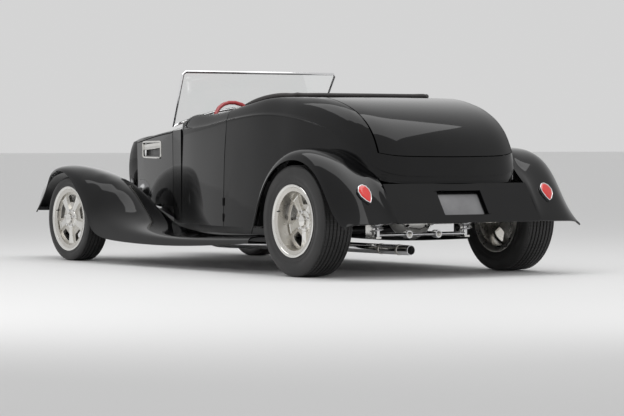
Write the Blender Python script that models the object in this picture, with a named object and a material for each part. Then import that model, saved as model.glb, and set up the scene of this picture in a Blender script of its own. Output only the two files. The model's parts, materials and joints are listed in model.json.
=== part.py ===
"""Street rod roadster: a full-size open two-seater on independent, plainly named pieces.

The frame of reference has X forward, Y to the car's left and Z up.
Its origin lies on the ground under the middle of the overall box.
All lengths are metres.
Tables whose names end in shares give places as shares of the named sizes in their column headings.
"""
import math

import bmesh
import bpy
from mathutils import Matrix, Vector

# Overall layout
WHEELBASE = 2.845
HALF_WIDTH = 0.885
BODY_HALF_WIDTH = 0.69
BODY_HEIGHT = 1.09

# Clearances and sheet thicknesses
SEAT_GAP = 0.0003
PANEL_GAP = 0.006
CUT_OVERRUN = 0.02
MERGE_DISTANCE = 0.00002
BODY_WALL = 0.045
SHEET_WALL = 0.008
FLOOR_WALL = 0.012

# Wheels and tyres
FRONT_TYRE_RADIUS = 0.286
FRONT_TYRE_WIDTH = 0.165
FRONT_TRACK = 1.468
REAR_TYRE_RADIUS = 0.336
REAR_TYRE_WIDTH = 0.225
REAR_TRACK = 1.53
RIM_LIP_RADIUS = 0.2195
RIM_BEAD_RADIUS = 0.203
RIM_WELL_RADIUS = 0.186
RIM_WALL = 0.007
RIM_FLANGE = 0.011
RIM_INSET = 0.0045
HUB_RADIUS = 0.072
HUB_CAP_RADIUS = 0.034
HUB_CAP_HEIGHT = 0.03
HUB_CAP_EDGE = 0.008
WINDOW_MARGIN = 0.012
DISC_WALL = 0.022
FRONT_DISH = 0.03
REAR_DISH = 0.095
SPOKE_COUNT = 5
WINDOW_WIDTH_SHARE = 0.52
SPINDLE_RADIUS = 0.03
SPINDLE_REACH = 0.03
WHEEL_STEPS = 32

# Front axle, knuckles and steering
KINGPIN_HALF_SPAN = 0.598
KINGPIN_RADIUS = 0.011
BOSS_RADIUS = 0.021
BOSS_HEIGHT = 0.084
LUG_HEIGHT = 0.022
PIN_PLAY = 0.0005
WEB_PLAY = 0.005
WEB_HALF_LENGTH = 0.034
NECK_STEP = 0.002
AXLE_BEAM_RADIUS = 0.024
AXLE_DROP = 0.085
STEERING_ARM = 0.14
ARM_RADIUS = 0.012
ARM_EYE_RADIUS = 0.0168
TIE_ROD_RADIUS = 0.011
TIE_ROD_PIN_RADIUS = 0.0055
TIE_ROD_DROP = 0.035
STEERING_WHEEL_RADIUS = 0.17
STEERING_RIM_RADIUS = 0.013
STEERING_SPOKE_RADIUS = 0.0078
STEERING_HUB_RADIUS = 0.031
STEERING_HUB_DEPTH = 0.048
STEERING_WHEEL_STEPS = 22
STEERING_WHEEL_Y = 0.32
STEERING_WHEEL_Z = 0.915
STEERING_WHEEL_SHARE = 0.515
STEERING_RAKE = math.radians(27)
COLUMN_RADIUS = 0.024

# Frame rails and rear suspension
RAIL_WIDTH = 0.045
RAIL_HEIGHT = 0.09
CROSSMEMBER_HEIGHT = 0.06
CROSSMEMBER_LENGTH = 0.09
LEAF_HALF_WIDTH = 0.025
LEAF_HALF_HEIGHT = 0.012
LEAF_SPAN_SHARE = 0.7
CROSSBAR_RADIUS = 0.022
REAR_TUBE_RADIUS = 0.036
DIFFERENTIAL_RADIUS = 0.12
DIFFERENTIAL_HALF_LENGTH = 0.13
COILOVER_Y = 0.335
COILOVER_X = -0.115
COILOVER_RADIUS = 0.038
COILOVER_TOP_SHARE = 0.456
COILOVER_BOTTOM = 0.235
BRACKET_HALF_WIDTH = 0.012
BRACKET_WALL = 0.014
LINK_RADIUS = 0.011
LINK_EYE_RADIUS = 0.024
LINK_EYE_Y_SHARES = (0.32, -0.34)

# Exhaust
EXHAUST_RADIUS = 0.03
EXHAUST_WALL = 0.003

# Engine and gearbox
ENGINE_LENGTH = 0.62
ENGINE_WIDTH = 0.44
ENGINE_HEIGHT = 0.42
ENGINE_FLOOR = 0.3
ENGINE_GAP = 0.03
ENGINE_ROUND = 0.02
GEARBOX_LENGTH = 0.66
GEARBOX_WIDTH = 0.2
GEARBOX_HEIGHT = 0.16
GEARBOX_FLOOR = 0.225

# Body details
DASH_RISE = 0.045
DASH_FACE_DEPTH = 0.17
DASH_WALL = 0.02
BODY_ROUNDNESS = 2.6
BEAD_RISE = 0.006
HOOD_ROUNDNESS = 2.0
SHELL_DEPTH = 0.085
SHELL_RAKE = 0.115
VENT_LENGTH = 0.4
VENT_HEIGHT = 0.085
VENT_SHARE = 0.855
VENT_DROP = 0.105
GRILLE_FRAME_WALL = 0.03
GRILLE_BARS = 13
GRILLE_THICKNESS = 0.012
LAMP_RADIUS = 0.078
LAMP_DEPTH = 0.13
LAMP_POST_RADIUS = 0.012
TAIL_LAMP_LENGTH = 0.1
TAIL_LAMP_WIDTH = 0.066
TAIL_LAMP_DEPTH = 0.016
TAIL_LAMP_LIFT = 0.0006
TAIL_LAMP_SHARE = 0.8583
TAIL_LAMP_ANGLE = math.radians(70)
PLATE_RECESS_WIDTH = 0.33
PLATE_RECESS_HEIGHT = 0.17
PLATE_RECESS_DEPTH = 0.03
PLATE_WIDTH = 0.305
PLATE_HEIGHT = 0.15
PLATE_WALL = 0.003
WINDSHIELD_HEIGHT = 0.4
WINDSHIELD_TOP_HALF_WIDTH = 0.6
WINDSHIELD_FOOT_HALF_WIDTH = 0.572
WINDSHIELD_RAKE = math.radians(27)
WINDSHIELD_TUBE_RADIUS = 0.009
WINDSHIELD_FOOT_RISE = 0.0242
HINGE_PIN_RADIUS = 0.0024
DOOR_PIN_RADIUS = 0.0034
HINGE_PIN_LENGTH = 0.05
HINGE_PIN_FOOT = 0.03
SMALL = 0.000001
NEAR_COLUMNS = 0.01
WINDSHIELD_GLASS = 0.005
WINDSHIELD_CORNER = 0.018
COAMING_RADIUS = 0.017
SEAT_WIDTH = 0.98
SEAT_DEPTH = 0.46
SEAT_THICKNESS = 0.16
BACK_HEIGHT = 0.5
BACK_THICKNESS = 0.14
BACK_RAKE = math.radians(14)
SEAT_SHARE = 0.256
CUSHION_ROUND = 0.03
TUNNEL_HEIGHT = 0.16
TUNNEL_HALF_WIDTH = 0.19
TUNNEL_ROUNDNESS = 3.0
BULKHEAD_SHARE = 0.222
BULKHEAD_HALF_WIDTH = 0.53
TRUNK_HALF_WIDTH = 0.55
TRUNK_REAR_SHARE = -0.15
TRUNK_REAR_HALF_WIDTH = 0.46
BULKHEAD_TOP_SHARE = 0.899

# Body columns from the door's front edge to the middle of the tail.
# Foot x as a share of WHEELBASE from the rear axle, foot y of BODY_HALF_WIDTH, foot z of BODY_HEIGHT,
# then rim x, y and z likewise, then the belt bead's z of BODY_HEIGHT.
body_column_shares = (
    (0.633, 0.790, 0.252, 0.633, 0.775, 0.853, 0.815),
    (0.569, 0.848, 0.252, 0.569, 0.804, 0.904, 0.823),
    (0.478, 0.913, 0.252, 0.478, 0.841, 0.904, 0.839),
    (0.387, 0.964, 0.252, 0.387, 0.870, 0.928, 0.867),
    (0.295, 0.993, 0.252, 0.302, 0.877, 0.963, 0.890),
    (0.218, 1.000, 0.252, 0.253, 0.858, 0.989, 0.899),
    (0.155, 0.986, 0.385, 0.225, 0.826, 0.998, 0.894),
    (0.105, 0.964, 0.606, 0.207, 0.790, 1.000, 0.883),
    (0.042, 0.928, 0.675, 0.195, 0.764, 1.000, 0.858),
    (-0.028, 0.884, 0.665, 0.186, 0.745, 1.000, 0.798),
    (-0.088, 0.833, 0.600, 0.179, 0.728, 1.000, 0.697),
    (-0.127, 0.761, 0.540, 0.174, 0.700, 1.000, 0.601),
    (-0.148, 0.638, 0.516, 0.169, 0.635, 1.000, 0.564),
    (-0.156, 0.449, 0.514, 0.163, 0.455, 1.000, 0.555),
    (-0.161, 0.225, 0.514, 0.160, 0.228, 1.000, 0.552),
    (-0.162, 0.000, 0.514, 0.158, 0.000, 1.000, 0.550),
)
DOOR_COLUMN_COUNT = 3
TAIL_COLUMN = len(body_column_shares) - 1
LID_COLUMN_SHARE = 0.7533
LID_COLUMN = LID_COLUMN_SHARE * TAIL_COLUMN
BEAD_ROW_SHARE = 0.6
LID_LOW_ROW_SHARE = 0.646
LID_TOP_ROW_SHARE = 0.951
LID_AXIS_SHIFT = 0.003
LID_AXIS_DROP = 0.0008
LID_PIN_SHARE = 0.32
SIDE_ROW_SHARE = 0.5
door_row_shares = (0.0, 0.2, 0.4, 0.57, 0.6, 0.63, 0.73, 0.86, 1.0)
tail_row_shares = (0.0, 0.3, 0.57, 0.6, 0.625, 0.646, 0.7, 0.76, 0.83, 0.9, 0.951, 1.0)
# Columns of the quarter panels between door and lid, and of the lid, as shares of the column to the tail.
quarter_column_shares = (0.24, 0.2867, 0.3333, 0.3733, 0.4133, 0.4533, 0.4933, 0.5467, 0.6, 0.6533, 0.7067)
lid_column_shares = (0.8133, 0.8733, 0.9333)

# Hood and cowl stations from the radiator shell back to the door.
# x as a share of WHEELBASE, half width at the foot and at the seam of BODY_HALF_WIDTH,
# then foot, seam and middle z of BODY_HEIGHT.
hood_station_shares = (
    (0.984, 0.413, 0.428, 0.352, 0.745, 0.796),
    (0.914, 0.500, 0.510, 0.352, 0.763, 0.818),
    (0.837, 0.587, 0.594, 0.352, 0.782, 0.844),
    (0.759, 0.670, 0.678, 0.352, 0.798, 0.872),
    (0.692, 0.736, 0.746, 0.352, 0.809, 0.894),
)
cowl_station_shares = (
    (0.690, 0.736, 0.746, 0.252, 0.809, 0.894),
    (0.660, 0.765, 0.773, 0.252, 0.813, 0.922),
    (0.635, 0.789, 0.797, 0.252, 0.817, 0.944),
)

# Hood and cowl sections over the seam: how far across each point lies.
hood_top_shares = (0.9, 0.75, 0.55, 0.3, 0.0)

# Front fender round the wheel: crown x and z from the front axle in tyre radii,
# lip x and z likewise, lip y of HALF_WIDTH, gap from the body side of HALF_WIDTH,
# inner edge z in tyre radii, roundness of the section.
front_arch_shares = (
    (2.220, 1.154, 1.941, 1.119, 0.86, 0.243, 1.119, 2.2),
    (2.168, 1.469, 1.591, 1.399, 0.87, 0.198, 1.259, 2.2),
    (1.871, 1.783, 1.241, 1.713, 0.89, 0.153, 1.329, 2.2),
    (1.416, 2.063, 0.892, 1.958, 0.93, 0.113, 1.364, 2.2),
    (0.857, 2.238, 0.542, 2.098, 0.96, 0.085, 1.364, 2.2),
    (0.227, 2.290, 0.087, 2.150, 0.98, 0.085, 1.364, 2.2),
    (-0.577, 2.203, -0.367, 2.028, 0.99, 0.073, 1.346, 2.2),
    (-1.381, 2.010, -0.857, 1.678, 1.00, 0.054, 1.294, 2.3),
    (-2.080, 1.678, -1.276, 1.189, 1.00, 0.042, 1.224, 2.5),
)
# Running board: x of WHEELBASE from the rear axle in place of x in tyre radii, the rest as above.
running_board_shares = (
    (0.731, 1.294, 0.837, 0.664, 1.0, 0.031, 1.084, 2.8),
    (0.668, 0.979, 0.721, 0.542, 1.0, 0.019, 0.930, 3.2),
    (0.598, 0.822, 0.615, 0.514, 1.0, -0.034, 0.822, 4.0),
    (0.510, 0.734, 0.510, 0.507, 1.0, -0.034, 0.804, 5.0),
    (0.380, 0.734, 0.380, 0.542, 1.0, -0.034, 0.804, 5.0),
    (0.250, 0.780, 0.230, 0.620, 1.0, -0.034, 0.810, 4.0),
    (0.200, 0.800, 0.166, 0.660, 1.0, -0.034, 0.800, 4.0),
)
FRONT_CROWN_Y_SHARE = 0.79
APRON_STEPS = 5
APRON_NOSE_SHARE = 0.1
APRON_GAP = 0.001

# Rear fender from its front foot over the wheel to the tail: crown x and z from the rear axle
# in tyre radii, lip x and z likewise, inner edge x, y of HALF_WIDTH and z.
rear_arch_shares = (
    (1.760, 0.860, 1.310, 0.740, 1.760, 0.796, 0.870),
    (1.696, 1.071, 1.220, 0.952, 1.696, 0.794, 1.071),
    (1.548, 1.399, 1.101, 1.250, 1.488, 0.790, 1.429),
    (1.339, 1.696, 0.950, 1.560, 1.220, 0.785, 1.786),
    (1.012, 1.994, 0.680, 1.840, 0.893, 0.780, 2.054),
    (0.595, 2.202, 0.357, 2.020, 0.506, 0.765, 2.217),
    (0.149, 2.307, 0.030, 2.090, 0.089, 0.745, 2.277),
    (-0.298, 2.292, -0.340, 2.060, -0.327, 0.722, 2.247),
    (-0.714, 2.143, -0.690, 1.900, -0.714, 0.700, 2.083),
    (-1.071, 1.875, -0.960, 1.637, -1.012, 0.668, 1.875),
    (-1.339, 1.577, -1.161, 1.339, -1.339, 0.637, 1.652),
    (-1.577, 1.250, -1.399, 1.042, -1.577, 0.626, 1.339),
    (-1.786, 0.982, -1.667, 0.893, -1.786, 0.620, 0.997),
)
REAR_CROWN_Y_SHARE = 0.86
REAR_ROUNDNESS = 2.3
FLANGE_LEAST = 0.006
FLANGE_LIFT = 0.002
FLOOR_EDGE_GAP = 0.001
FIREWALL_GAP = 0.002
FLANGE_TUB_STEPS = 9
FLANGE_PAN_STEPS = 10
PAN_TOP_SHARES = (-1.355, 1.6666)
PAN_FOOT_SHARES = (-1.800, 0.985)
PAN_HALF_WIDTH = 0.535

# Frame rail stations: x of WHEELBASE from the rear axle, y of BODY_HALF_WIDTH, middle z of BODY_HEIGHT.
rail_station_shares = (
    (-0.150, 0.50, 0.440),
    (-0.080, 0.56, 0.457),
    (0.020, 0.58, 0.450),
    (0.100, 0.60, 0.400),
    (0.160, 0.64, 0.290),
    (0.215, 0.66, 0.208),
    (0.500, 0.66, 0.208),
    (0.690, 0.60, 0.208),
    (0.850, 0.46, 0.285),
    (1.000, 0.44, 0.300),
    (1.110, 0.44, 0.300),
)
# Exhaust pipe stations: x of WHEELBASE, y of BODY_HALF_WIDTH, z of BODY_HEIGHT.
exhaust_station_shares = (
    (0.790, 0.420, 0.330),
    (0.745, 0.440, 0.285),
    (0.690, 0.490, 0.190),
    (0.600, 0.520, 0.140),
    (0.500, 0.520, 0.136),
    (0.300, 0.520, 0.145),
    (0.120, 0.580, 0.155),
    (-0.050, 0.610, 0.156),
    (-0.205, 0.610, 0.156),
)
EXHAUST_MERGE_STEPS = 3
EXHAUST_MERGE_REACH_STEPS = 1.6
CROSSOVER_SHARE = 0.9
CROSSOVER_BEND_SHARE = 0.15

# Radiator shell outline from top middle to bottom middle: y of half width, z of height.
shell_outline_shares = (
    (0.00, 1.000), (0.45, 0.985), (0.80, 0.945), (0.97, 0.860),
    (1.00, 0.620), (0.93, 0.380), (0.78, 0.170), (0.50, 0.040), (0.00, 0.000),
)
SHELL_HALF_WIDTH = 0.290
SHELL_TOP = 0.866
SHELL_FOOT = 0.345
# Section through the shell's ring: inset as a share of its wall, forward as a share of its depth.
shell_ring_shares = ((0.0, 0.0), (0.0, 0.6), (0.3, 1.0), (1.0, 1.0), (1.0, 0.35), (0.4, 0.2), (0.4, 0.0))
GRILLE_DEPTH_SHARE = 0.62
GRILLE_EDGE_SHARE = 0.35
GRILLE_SLOT_SHARE = 0.3

# Headlamp profile: radius as a share of its radius, forward as a share of its depth.
headlamp_profile_shares = (
    (0, 0.42), (0.6, 0.38), (0.92, 0.3), (1, 0.27), (1, 0.18), (0.9, 0), (0.68, -0.3), (0.35, -0.5),
    (0, -0.58),
)

# Windshield foot across its half width; dash crown and brow as shares of its rise and face depth.
windshield_foot_shares = (-1, -0.9, -0.75, -0.5, -0.25, 0, 0.25, 0.5, 0.75, 0.9, 1)
dash_crown_shares = (0.6, 0.5)
# Floor section across the tunnel, floor stations along the wheelbase, and firewall rows up its height.
tunnel_shares = (0, 0.4, 0.65, 0.85, 1.0)
floor_station_shares = (0.222, 0.3, 0.38, 0.39, 0.48, 0.56, 0.64, 0.675)
firewall_row_shares = (0.3, 0.75, 1.0)
DOOR_REAR_SHARE = 0.387
# Raised luggage panel on the trunk floor, x as shares of the wheelbase.
LUGGAGE_PANEL_SHARES = (-0.064, 0.118)
LUGGAGE_PANEL_HALF_WIDTH = 0.42
LUGGAGE_PANEL_WALL = 0.004

# Front axle beam from kingpin to middle: y as a share of the half span, drop as a share of its drop.
axle_beam_shares = ((1.0, 0.0), (0.93, 0.05), (0.84, 0.6), (0.74, 1.0), (0.4, 1.0), (0.0, 1.0))
# Differential half profile: radius and distance from its middle as shares of its radius and half length.
differential_shares = ((0, -1.2), (0.5, -1), (0.9, -0.5), (1, 0), (0.9, 0.5), (0.5, 1), (0, 1.2))
# Coil-over ends round its coils: radius and height as shares of its radius and length.
coilover_foot_shares = ((0, 0), (0.45, 0), (0.45, 0.2))
coilover_head_shares = ((0.72, 0.83), (0.9, 0.85), (0.9, 0.9), (0.4, 0.9), (0.4, 1), (0, 1))
COIL_COUNT = 6
COIL_CORE_SHARE = 0.72
COIL_FIRST_SHARE = 0.22
COIL_SPAN_SHARE = 0.6
# Crossmembers: place along the rails' table.
CROSSBAR_STEPS = {"tail": 0.15, "seat": 4.6, "gearbox": 6.0, "engine": 7.95}
FRONT_CROSSMEMBER_STEPS = 9
COILOVER_RAIL_STEPS = 2
TRUNK_RAIL_STEPS = 3

# Wheel windows from the hub outward: radius as a share of the way out, angle as a share of the half window.
window_shares = ((0, -0.75), (1, -1), (1, 0), (1, 1), (0, 0.75))
# Tyre section from the rim flange out: radius as a share of the tyre's height, width as a share of its half.
tyre_shoulder_shares = ((0.3, 0.96), (0.5, 1), (0.78, 0.96), (0.94, 0.84), (1, 0.7))

# Tail lamp outline round its middle: across and up as shares of its width and length.
tail_lamp_shares = (
    (0.00, 0.50), (-0.32, 0.40), (-0.50, 0.15), (-0.42, -0.12), (-0.15, -0.38),
    (0.10, -0.50), (0.30, -0.30), (0.46, 0.00), (0.44, 0.26), (0.25, 0.44),
)

REAR_REACH = -PAN_FOOT_SHARES[0] * REAR_TYRE_RADIUS
FRONT_REACH = front_arch_shares[0][0] * FRONT_TYRE_RADIUS
LENGTH = REAR_REACH + WHEELBASE + FRONT_REACH
REAR_AXLE_X = REAR_REACH - LENGTH / 2
FRONT_AXLE_X = REAR_AXLE_X + WHEELBASE
RAIL_TOP = rail_station_shares[6][2] * BODY_HEIGHT + RAIL_HEIGHT / 2
FLOOR_Z = RAIL_TOP + SEAT_GAP
COILOVER_TOP = COILOVER_TOP_SHARE * BODY_HEIGHT
BULKHEAD_TOP = BULKHEAD_TOP_SHARE * BODY_HEIGHT
CROSSMEMBER_TOP = SHELL_FOOT - SEAT_GAP
UP = Vector((0, 0, 1))
LEFT = Vector((0, 1, 0))
FORWARD = Vector((1, 0, 0))
SIDES = (("left", 1), ("right", -1))


def clear_scene():
    """Remove what the file holds."""
    for item in list(bpy.data.objects):
        bpy.data.objects.remove(item)


def make_material(name, colour, roughness, metallic=0.0, transmission=0.0):
    """Return a Principled material."""
    material = bpy.data.materials.new(name)
    material.use_nodes = True
    shader = material.node_tree.nodes["Principled BSDF"]
    shader.inputs["Base Color"].default_value = (*colour, 1.0)
    shader.inputs["Roughness"].default_value = roughness
    shader.inputs["Metallic"].default_value = metallic
    shader.inputs["Transmission Weight"].default_value = transmission
    return material


def make_palette():
    """Return the materials by name."""
    return {
        "paint": make_material("black_paint", (0.004, 0.004, 0.005), 0.06),
        "alloy": make_material("satin_alloy", (0.72, 0.71, 0.68), 0.28, 1.0),
        "chrome": make_material("chrome", (0.85, 0.85, 0.86), 0.06, 1.0),
        "steel": make_material("dark_steel", (0.05, 0.05, 0.055), 0.4, 0.6),
        "tyre": make_material("tyre_rubber", (0.02, 0.02, 0.02), 0.75),
        "glass": make_material("clear_glass", (0.9, 0.95, 0.95), 0.02, 0.0, 1.0),
        "lens": make_material("red_lens", (0.6, 0.02, 0.02), 0.1),
        "leather": make_material("dark_leather", (0.03, 0.028, 0.028), 0.5),
        "red": make_material("red_rim", (0.35, 0.02, 0.03), 0.35),
        "trim": make_material("dark_trim", (0.015, 0.015, 0.016), 0.5),
        "iron": make_material("engine_iron", (0.25, 0.25, 0.26), 0.5, 0.8),
    }


def finish(name, bm, material, smooth_angle=40):
    """Turn a bmesh into a named object with outward faces."""
    bmesh.ops.recalc_face_normals(bm, faces=bm.faces[:])
    mesh = bpy.data.meshes.new(name)
    bm.to_mesh(mesh)
    bm.free()
    mesh.materials.append(material)
    mesh.shade_smooth()
    mesh.set_sharp_from_angle(angle=math.radians(smooth_angle))
    item = bpy.data.objects.new(name, mesh)
    bpy.context.collection.objects.link(item)
    return item


def combine(base, tools, operation):
    """Apply a Boolean of each tool to the base and drop the tools."""
    for tool in tools:
        modifier = base.modifiers.new("combine", "BOOLEAN")
        modifier.operation = operation
        modifier.solver = "EXACT"
        modifier.object = tool
        bpy.context.view_layer.update()
        evaluated = base.evaluated_get(bpy.context.evaluated_depsgraph_get())
        mesh = bpy.data.meshes.new_from_object(evaluated)
        base.modifiers.clear()
        base.data = mesh
        bpy.data.objects.remove(tool)
    bm = bmesh.new()
    bm.from_mesh(base.data)
    bmesh.ops.remove_doubles(bm, verts=bm.verts[:], dist=MERGE_DISTANCE)
    bmesh.ops.dissolve_degenerate(bm, edges=bm.edges[:], dist=MERGE_DISTANCE)
    bm.to_mesh(base.data)
    bm.free()
    return base


def set_origin(item, point):
    """Move an object's origin to a point without moving its shape."""
    item.data.transform(Matrix.Translation(-point))
    item.location = point


def along(share):
    """Return x at a share of the wheelbase from the rear axle."""
    return REAR_AXLE_X + share * WHEELBASE


def spline(table, place):
    """Return the row at a place between the rows of a table, on a smooth curve."""
    last = len(table) - 1
    place = min(max(place, 0.0), float(last))
    first = min(int(place), last - 1)
    t = place - first
    rows = [table[min(max(first + step, 0), last)] for step in (-1, 0, 1, 2)]
    return tuple(
        0.5 * (2 * b + (c - a) * t + (2 * a - 5 * b + 4 * c - d) * t ** 2 + (3 * b - a - 3 * c + d) * t ** 3)
        for a, b, c, d in zip(*rows)
    )


def spread(first, last, count):
    """Return evenly spaced values with both ends."""
    return [first + (last - first) * step / (count - 1) for step in range(count)]


def sheet(points, skip=None):
    """Return a bmesh with one face for each cell of a grid of points, and its vertices."""
    bm = bmesh.new()
    grid = [[None] * len(points[0]) for _ in points]

    def vertex(i, j):
        if grid[i][j] is None:
            grid[i][j] = bm.verts.new(points[i][j])
        return grid[i][j]

    for i in range(len(points) - 1):
        for j in range(len(points[0]) - 1):
            if skip and skip(i, j):
                continue
            bm.faces.new((vertex(i, j), vertex(i + 1, j), vertex(i + 1, j + 1), vertex(i, j + 1)))
    return bm, grid


def thick_sheet(name, outer, inner, material, skip=None, smooth_angle=40):
    """Return a solid whose two sides follow two like grids of points."""
    bm, grid = sheet(outer, skip)
    places = {}
    for i, row in enumerate(grid):
        for j, vert in enumerate(row):
            if vert is not None:
                places[tuple(vert.co)] = inner[i][j]
    made = bmesh.ops.extrude_face_region(bm, geom=bm.faces[:])
    for vert in made["geom"]:
        if isinstance(vert, bmesh.types.BMVert):
            vert.co = places[tuple(vert.co)]
    return finish(name, bm, material, smooth_angle)


def offset_grid(points, distance):
    """Return the grid moved along its own normals, against the row-by-column turn."""
    rows, columns = len(points), len(points[0])
    moved = []
    for i in range(rows):
        line = []
        for j in range(columns):
            along_rows = points[min(i + 1, rows - 1)][j] - points[max(i - 1, 0)][j]
            along_columns = points[i][min(j + 1, columns - 1)] - points[i][max(j - 1, 0)]
            line.append(points[i][j] + along_rows.cross(along_columns).normalized() * distance)
        moved.append(line)
    return moved


def mirrored(points, side):
    """Return a grid on the given side of the car."""
    return [[Vector((p.x, p.y * side, p.z)) for p in row] for row in points]


def tube(name, path, radius, sides, material, closed=False):
    """Return a round bar along a path, with a radius for each point or one for all."""
    radii = radius if isinstance(radius, (list, tuple)) else [radius] * len(path)
    count = len(path)
    bm = bmesh.new()
    rings = []
    normal = None
    for i, point in enumerate(path):
        before = path[i - 1] if closed or i else path[0]
        after = path[(i + 1) % count] if closed or i < count - 1 else path[-1]
        tangent = (after - before).normalized()
        if normal is None:
            seed = UP if abs(tangent.z) < 0.9 else FORWARD
            normal = seed
        normal = (normal - tangent * normal.dot(tangent)).normalized()
        across = tangent.cross(normal)
        ring = []
        for step in range(sides):
            angle = math.tau * step / sides
            out = normal * math.cos(angle) + across * math.sin(angle)
            ring.append(bm.verts.new(point + out * radii[i]))
        rings.append(ring)
    for i in range(count if closed else count - 1):
        ring, following = rings[i], rings[(i + 1) % count]
        for step in range(sides):
            other = (step + 1) % sides
            bm.faces.new((ring[step], ring[other], following[other], following[step]))
    if not closed:
        bm.faces.new(rings[0])
        bm.faces.new(rings[-1])
    return finish(name, bm, material)


def swept_box(name, path, width, height, material):
    """Return a bar of upright rectangular section along a path that runs mostly forward."""
    bm = bmesh.new()
    rings = []
    for i, point in enumerate(path):
        before, after = path[max(i - 1, 0)], path[min(i + 1, len(path) - 1)]
        tangent = (after - before).normalized()
        across = UP.cross(tangent).normalized()
        rise = tangent.cross(across)
        corners = ((-0.5, -0.5), (0.5, -0.5), (0.5, 0.5), (-0.5, 0.5))
        rings.append([bm.verts.new(point + across * width * a + rise * height * b) for a, b in corners])
    for ring, following in zip(rings, rings[1:]):
        for step in range(4):
            other = (step + 1) % 4
            bm.faces.new((ring[step], ring[other], following[other], following[step]))
    bm.faces.new(rings[0])
    bm.faces.new(rings[-1])
    return finish(name, bm, material)


def revolve(name, profile, steps, material, axis=LEFT, smooth_angle=40):
    """Turn a profile of (radius, along the axis) points that starts and ends alike or on the axis."""
    bm = bmesh.new()
    radial = UP.cross(axis) if abs(axis.z) < 0.9 else FORWARD
    verts = [bm.verts.new(radial * r + axis * a) for r, a in profile]
    ring = list(zip(verts, verts[1:]))
    if profile[0][0] > 0:
        ring.append((verts[-1], verts[0]))
    edges = [bm.edges.new(pair) for pair in ring]
    bmesh.ops.spin(
        bm, geom=verts + edges, cent=(0, 0, 0), axis=axis, dvec=(0, 0, 0),
        angle=math.tau, steps=steps, use_merge=True,
    )
    bmesh.ops.remove_doubles(bm, verts=bm.verts[:], dist=MERGE_DISTANCE)
    return finish(name, bm, material, smooth_angle)


def box(name, low, high, material, bevel=0.0, segments=2):
    """Return a box between two corners with rounded edges."""
    bm = bmesh.new()
    bmesh.ops.create_cube(bm, size=1.0)
    low, high = Vector(low), Vector(high)
    middle, size = (low + high) / 2, high - low
    for vert in bm.verts:
        vert.co = Vector((vert.co.x * size.x, vert.co.y * size.y, vert.co.z * size.z)) + middle
    if bevel:
        bmesh.ops.bevel(
            bm, geom=bm.edges[:], offset=bevel, segments=segments, profile=0.5, affect="EDGES",
            material=-1,
        )
    return finish(name, bm, material)


def prism(name, outline, depth, material):
    """Return a solid from a closed outline moved along a depth vector."""
    bm = bmesh.new()
    face = bm.faces.new([bm.verts.new(point) for point in outline])
    made = bmesh.ops.extrude_face_region(bm, geom=[face])
    verts = [item for item in made["geom"] if isinstance(item, bmesh.types.BMVert)]
    bmesh.ops.translate(bm, verts=verts, vec=depth)
    return finish(name, bm, material)


def rod(name, start, end, radius, sides, material):
    """Return a straight round bar."""
    return tube(name, [Vector(start), Vector(end)], radius, sides, material)


# Body surface

def superellipse(angle, roundness):
    """Return the across and up shares of a rounded quarter at an angle from its foot."""
    return math.cos(angle) ** (2 / roundness), math.sin(angle) ** (2 / roundness)


def plan_normal(column):
    """Return the outward direction of the body's foot line in plan."""
    before = spline(body_column_shares, max(column - NEAR_COLUMNS, 0))
    after = spline(body_column_shares, min(column + NEAR_COLUMNS, TAIL_COLUMN))
    if column >= TAIL_COLUMN:
        return -FORWARD
    along_x = (after[0] - before[0]) * WHEELBASE
    along_y = (after[1] - before[1]) * BODY_HALF_WIDTH
    return Vector((along_y, -along_x, 0)).normalized()


def body_point(column, row, inset=0.0, rise=0.0):
    """Return the point of the left body side at a column and row, moved in by an inset."""
    foot_x, foot_y, foot_z, rim_x, rim_y, rim_z, bead_z = spline(body_column_shares, column)
    bead = max((bead_z - foot_z) / (rim_z - foot_z), SMALL)
    bead_angle = math.asin(min(bead, 1.0) ** (BODY_ROUNDNESS / 2))
    if row <= BEAD_ROW_SHARE:
        angle = bead_angle * row / BEAD_ROW_SHARE
    else:
        angle = bead_angle + (math.pi / 2 - bead_angle) * (row - BEAD_ROW_SHARE) / (1 - BEAD_ROW_SHARE)
    across, up = superellipse(min(angle, math.pi / 2 - SMALL), BODY_ROUNDNESS)
    outward = plan_normal(column)
    x = along(rim_x + (foot_x - rim_x) * across)
    y = (rim_y + (foot_y - rim_y) * across) * BODY_HALF_WIDTH
    z = (foot_z + (rim_z - foot_z) * up) * BODY_HEIGHT
    return Vector((x, y, z)) + outward * (rise - inset) - UP * inset * up


def body_grid(columns, rows, inset, bead_rise):
    """Return the grid of points over columns and rows, where a row may be a function of the column."""
    grid = []
    for column in columns:
        line = []
        for row in [item(column) if callable(item) else item for item in rows]:
            rise = bead_rise if abs(row - BEAD_ROW_SHARE) < SMALL else 0.0
            point = body_point(min(column, 2 * TAIL_COLUMN - column), row, inset, rise)
            if column > TAIL_COLUMN:
                point.y = -point.y
            line.append(point)
        grid.append(line)
    return grid


def column_step(column, row):
    """Return how many columns half a panel gap spans at a place."""
    near, far = max(column - NEAR_COLUMNS, 0), min(column + NEAR_COLUMNS, TAIL_COLUMN)
    span = (body_point(far, row) - body_point(near, row)).length
    return PANEL_GAP / 2 * (far - near) / span


def row_step(column, row):
    """Return how many rows half a panel gap spans at a place."""
    low, high = max(row - NEAR_COLUMNS, 0), min(row + NEAR_COLUMNS, 1)
    span = (body_point(column, high) - body_point(column, low)).length
    return PANEL_GAP / 2 * (high - low) / span


def halve(test, low, high):
    """Return where a rising test turns true between two values."""
    for _ in range(18):
        middle = (low + high) / 2
        if test(middle):
            high = middle
        else:
            low = middle
    return high


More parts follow.
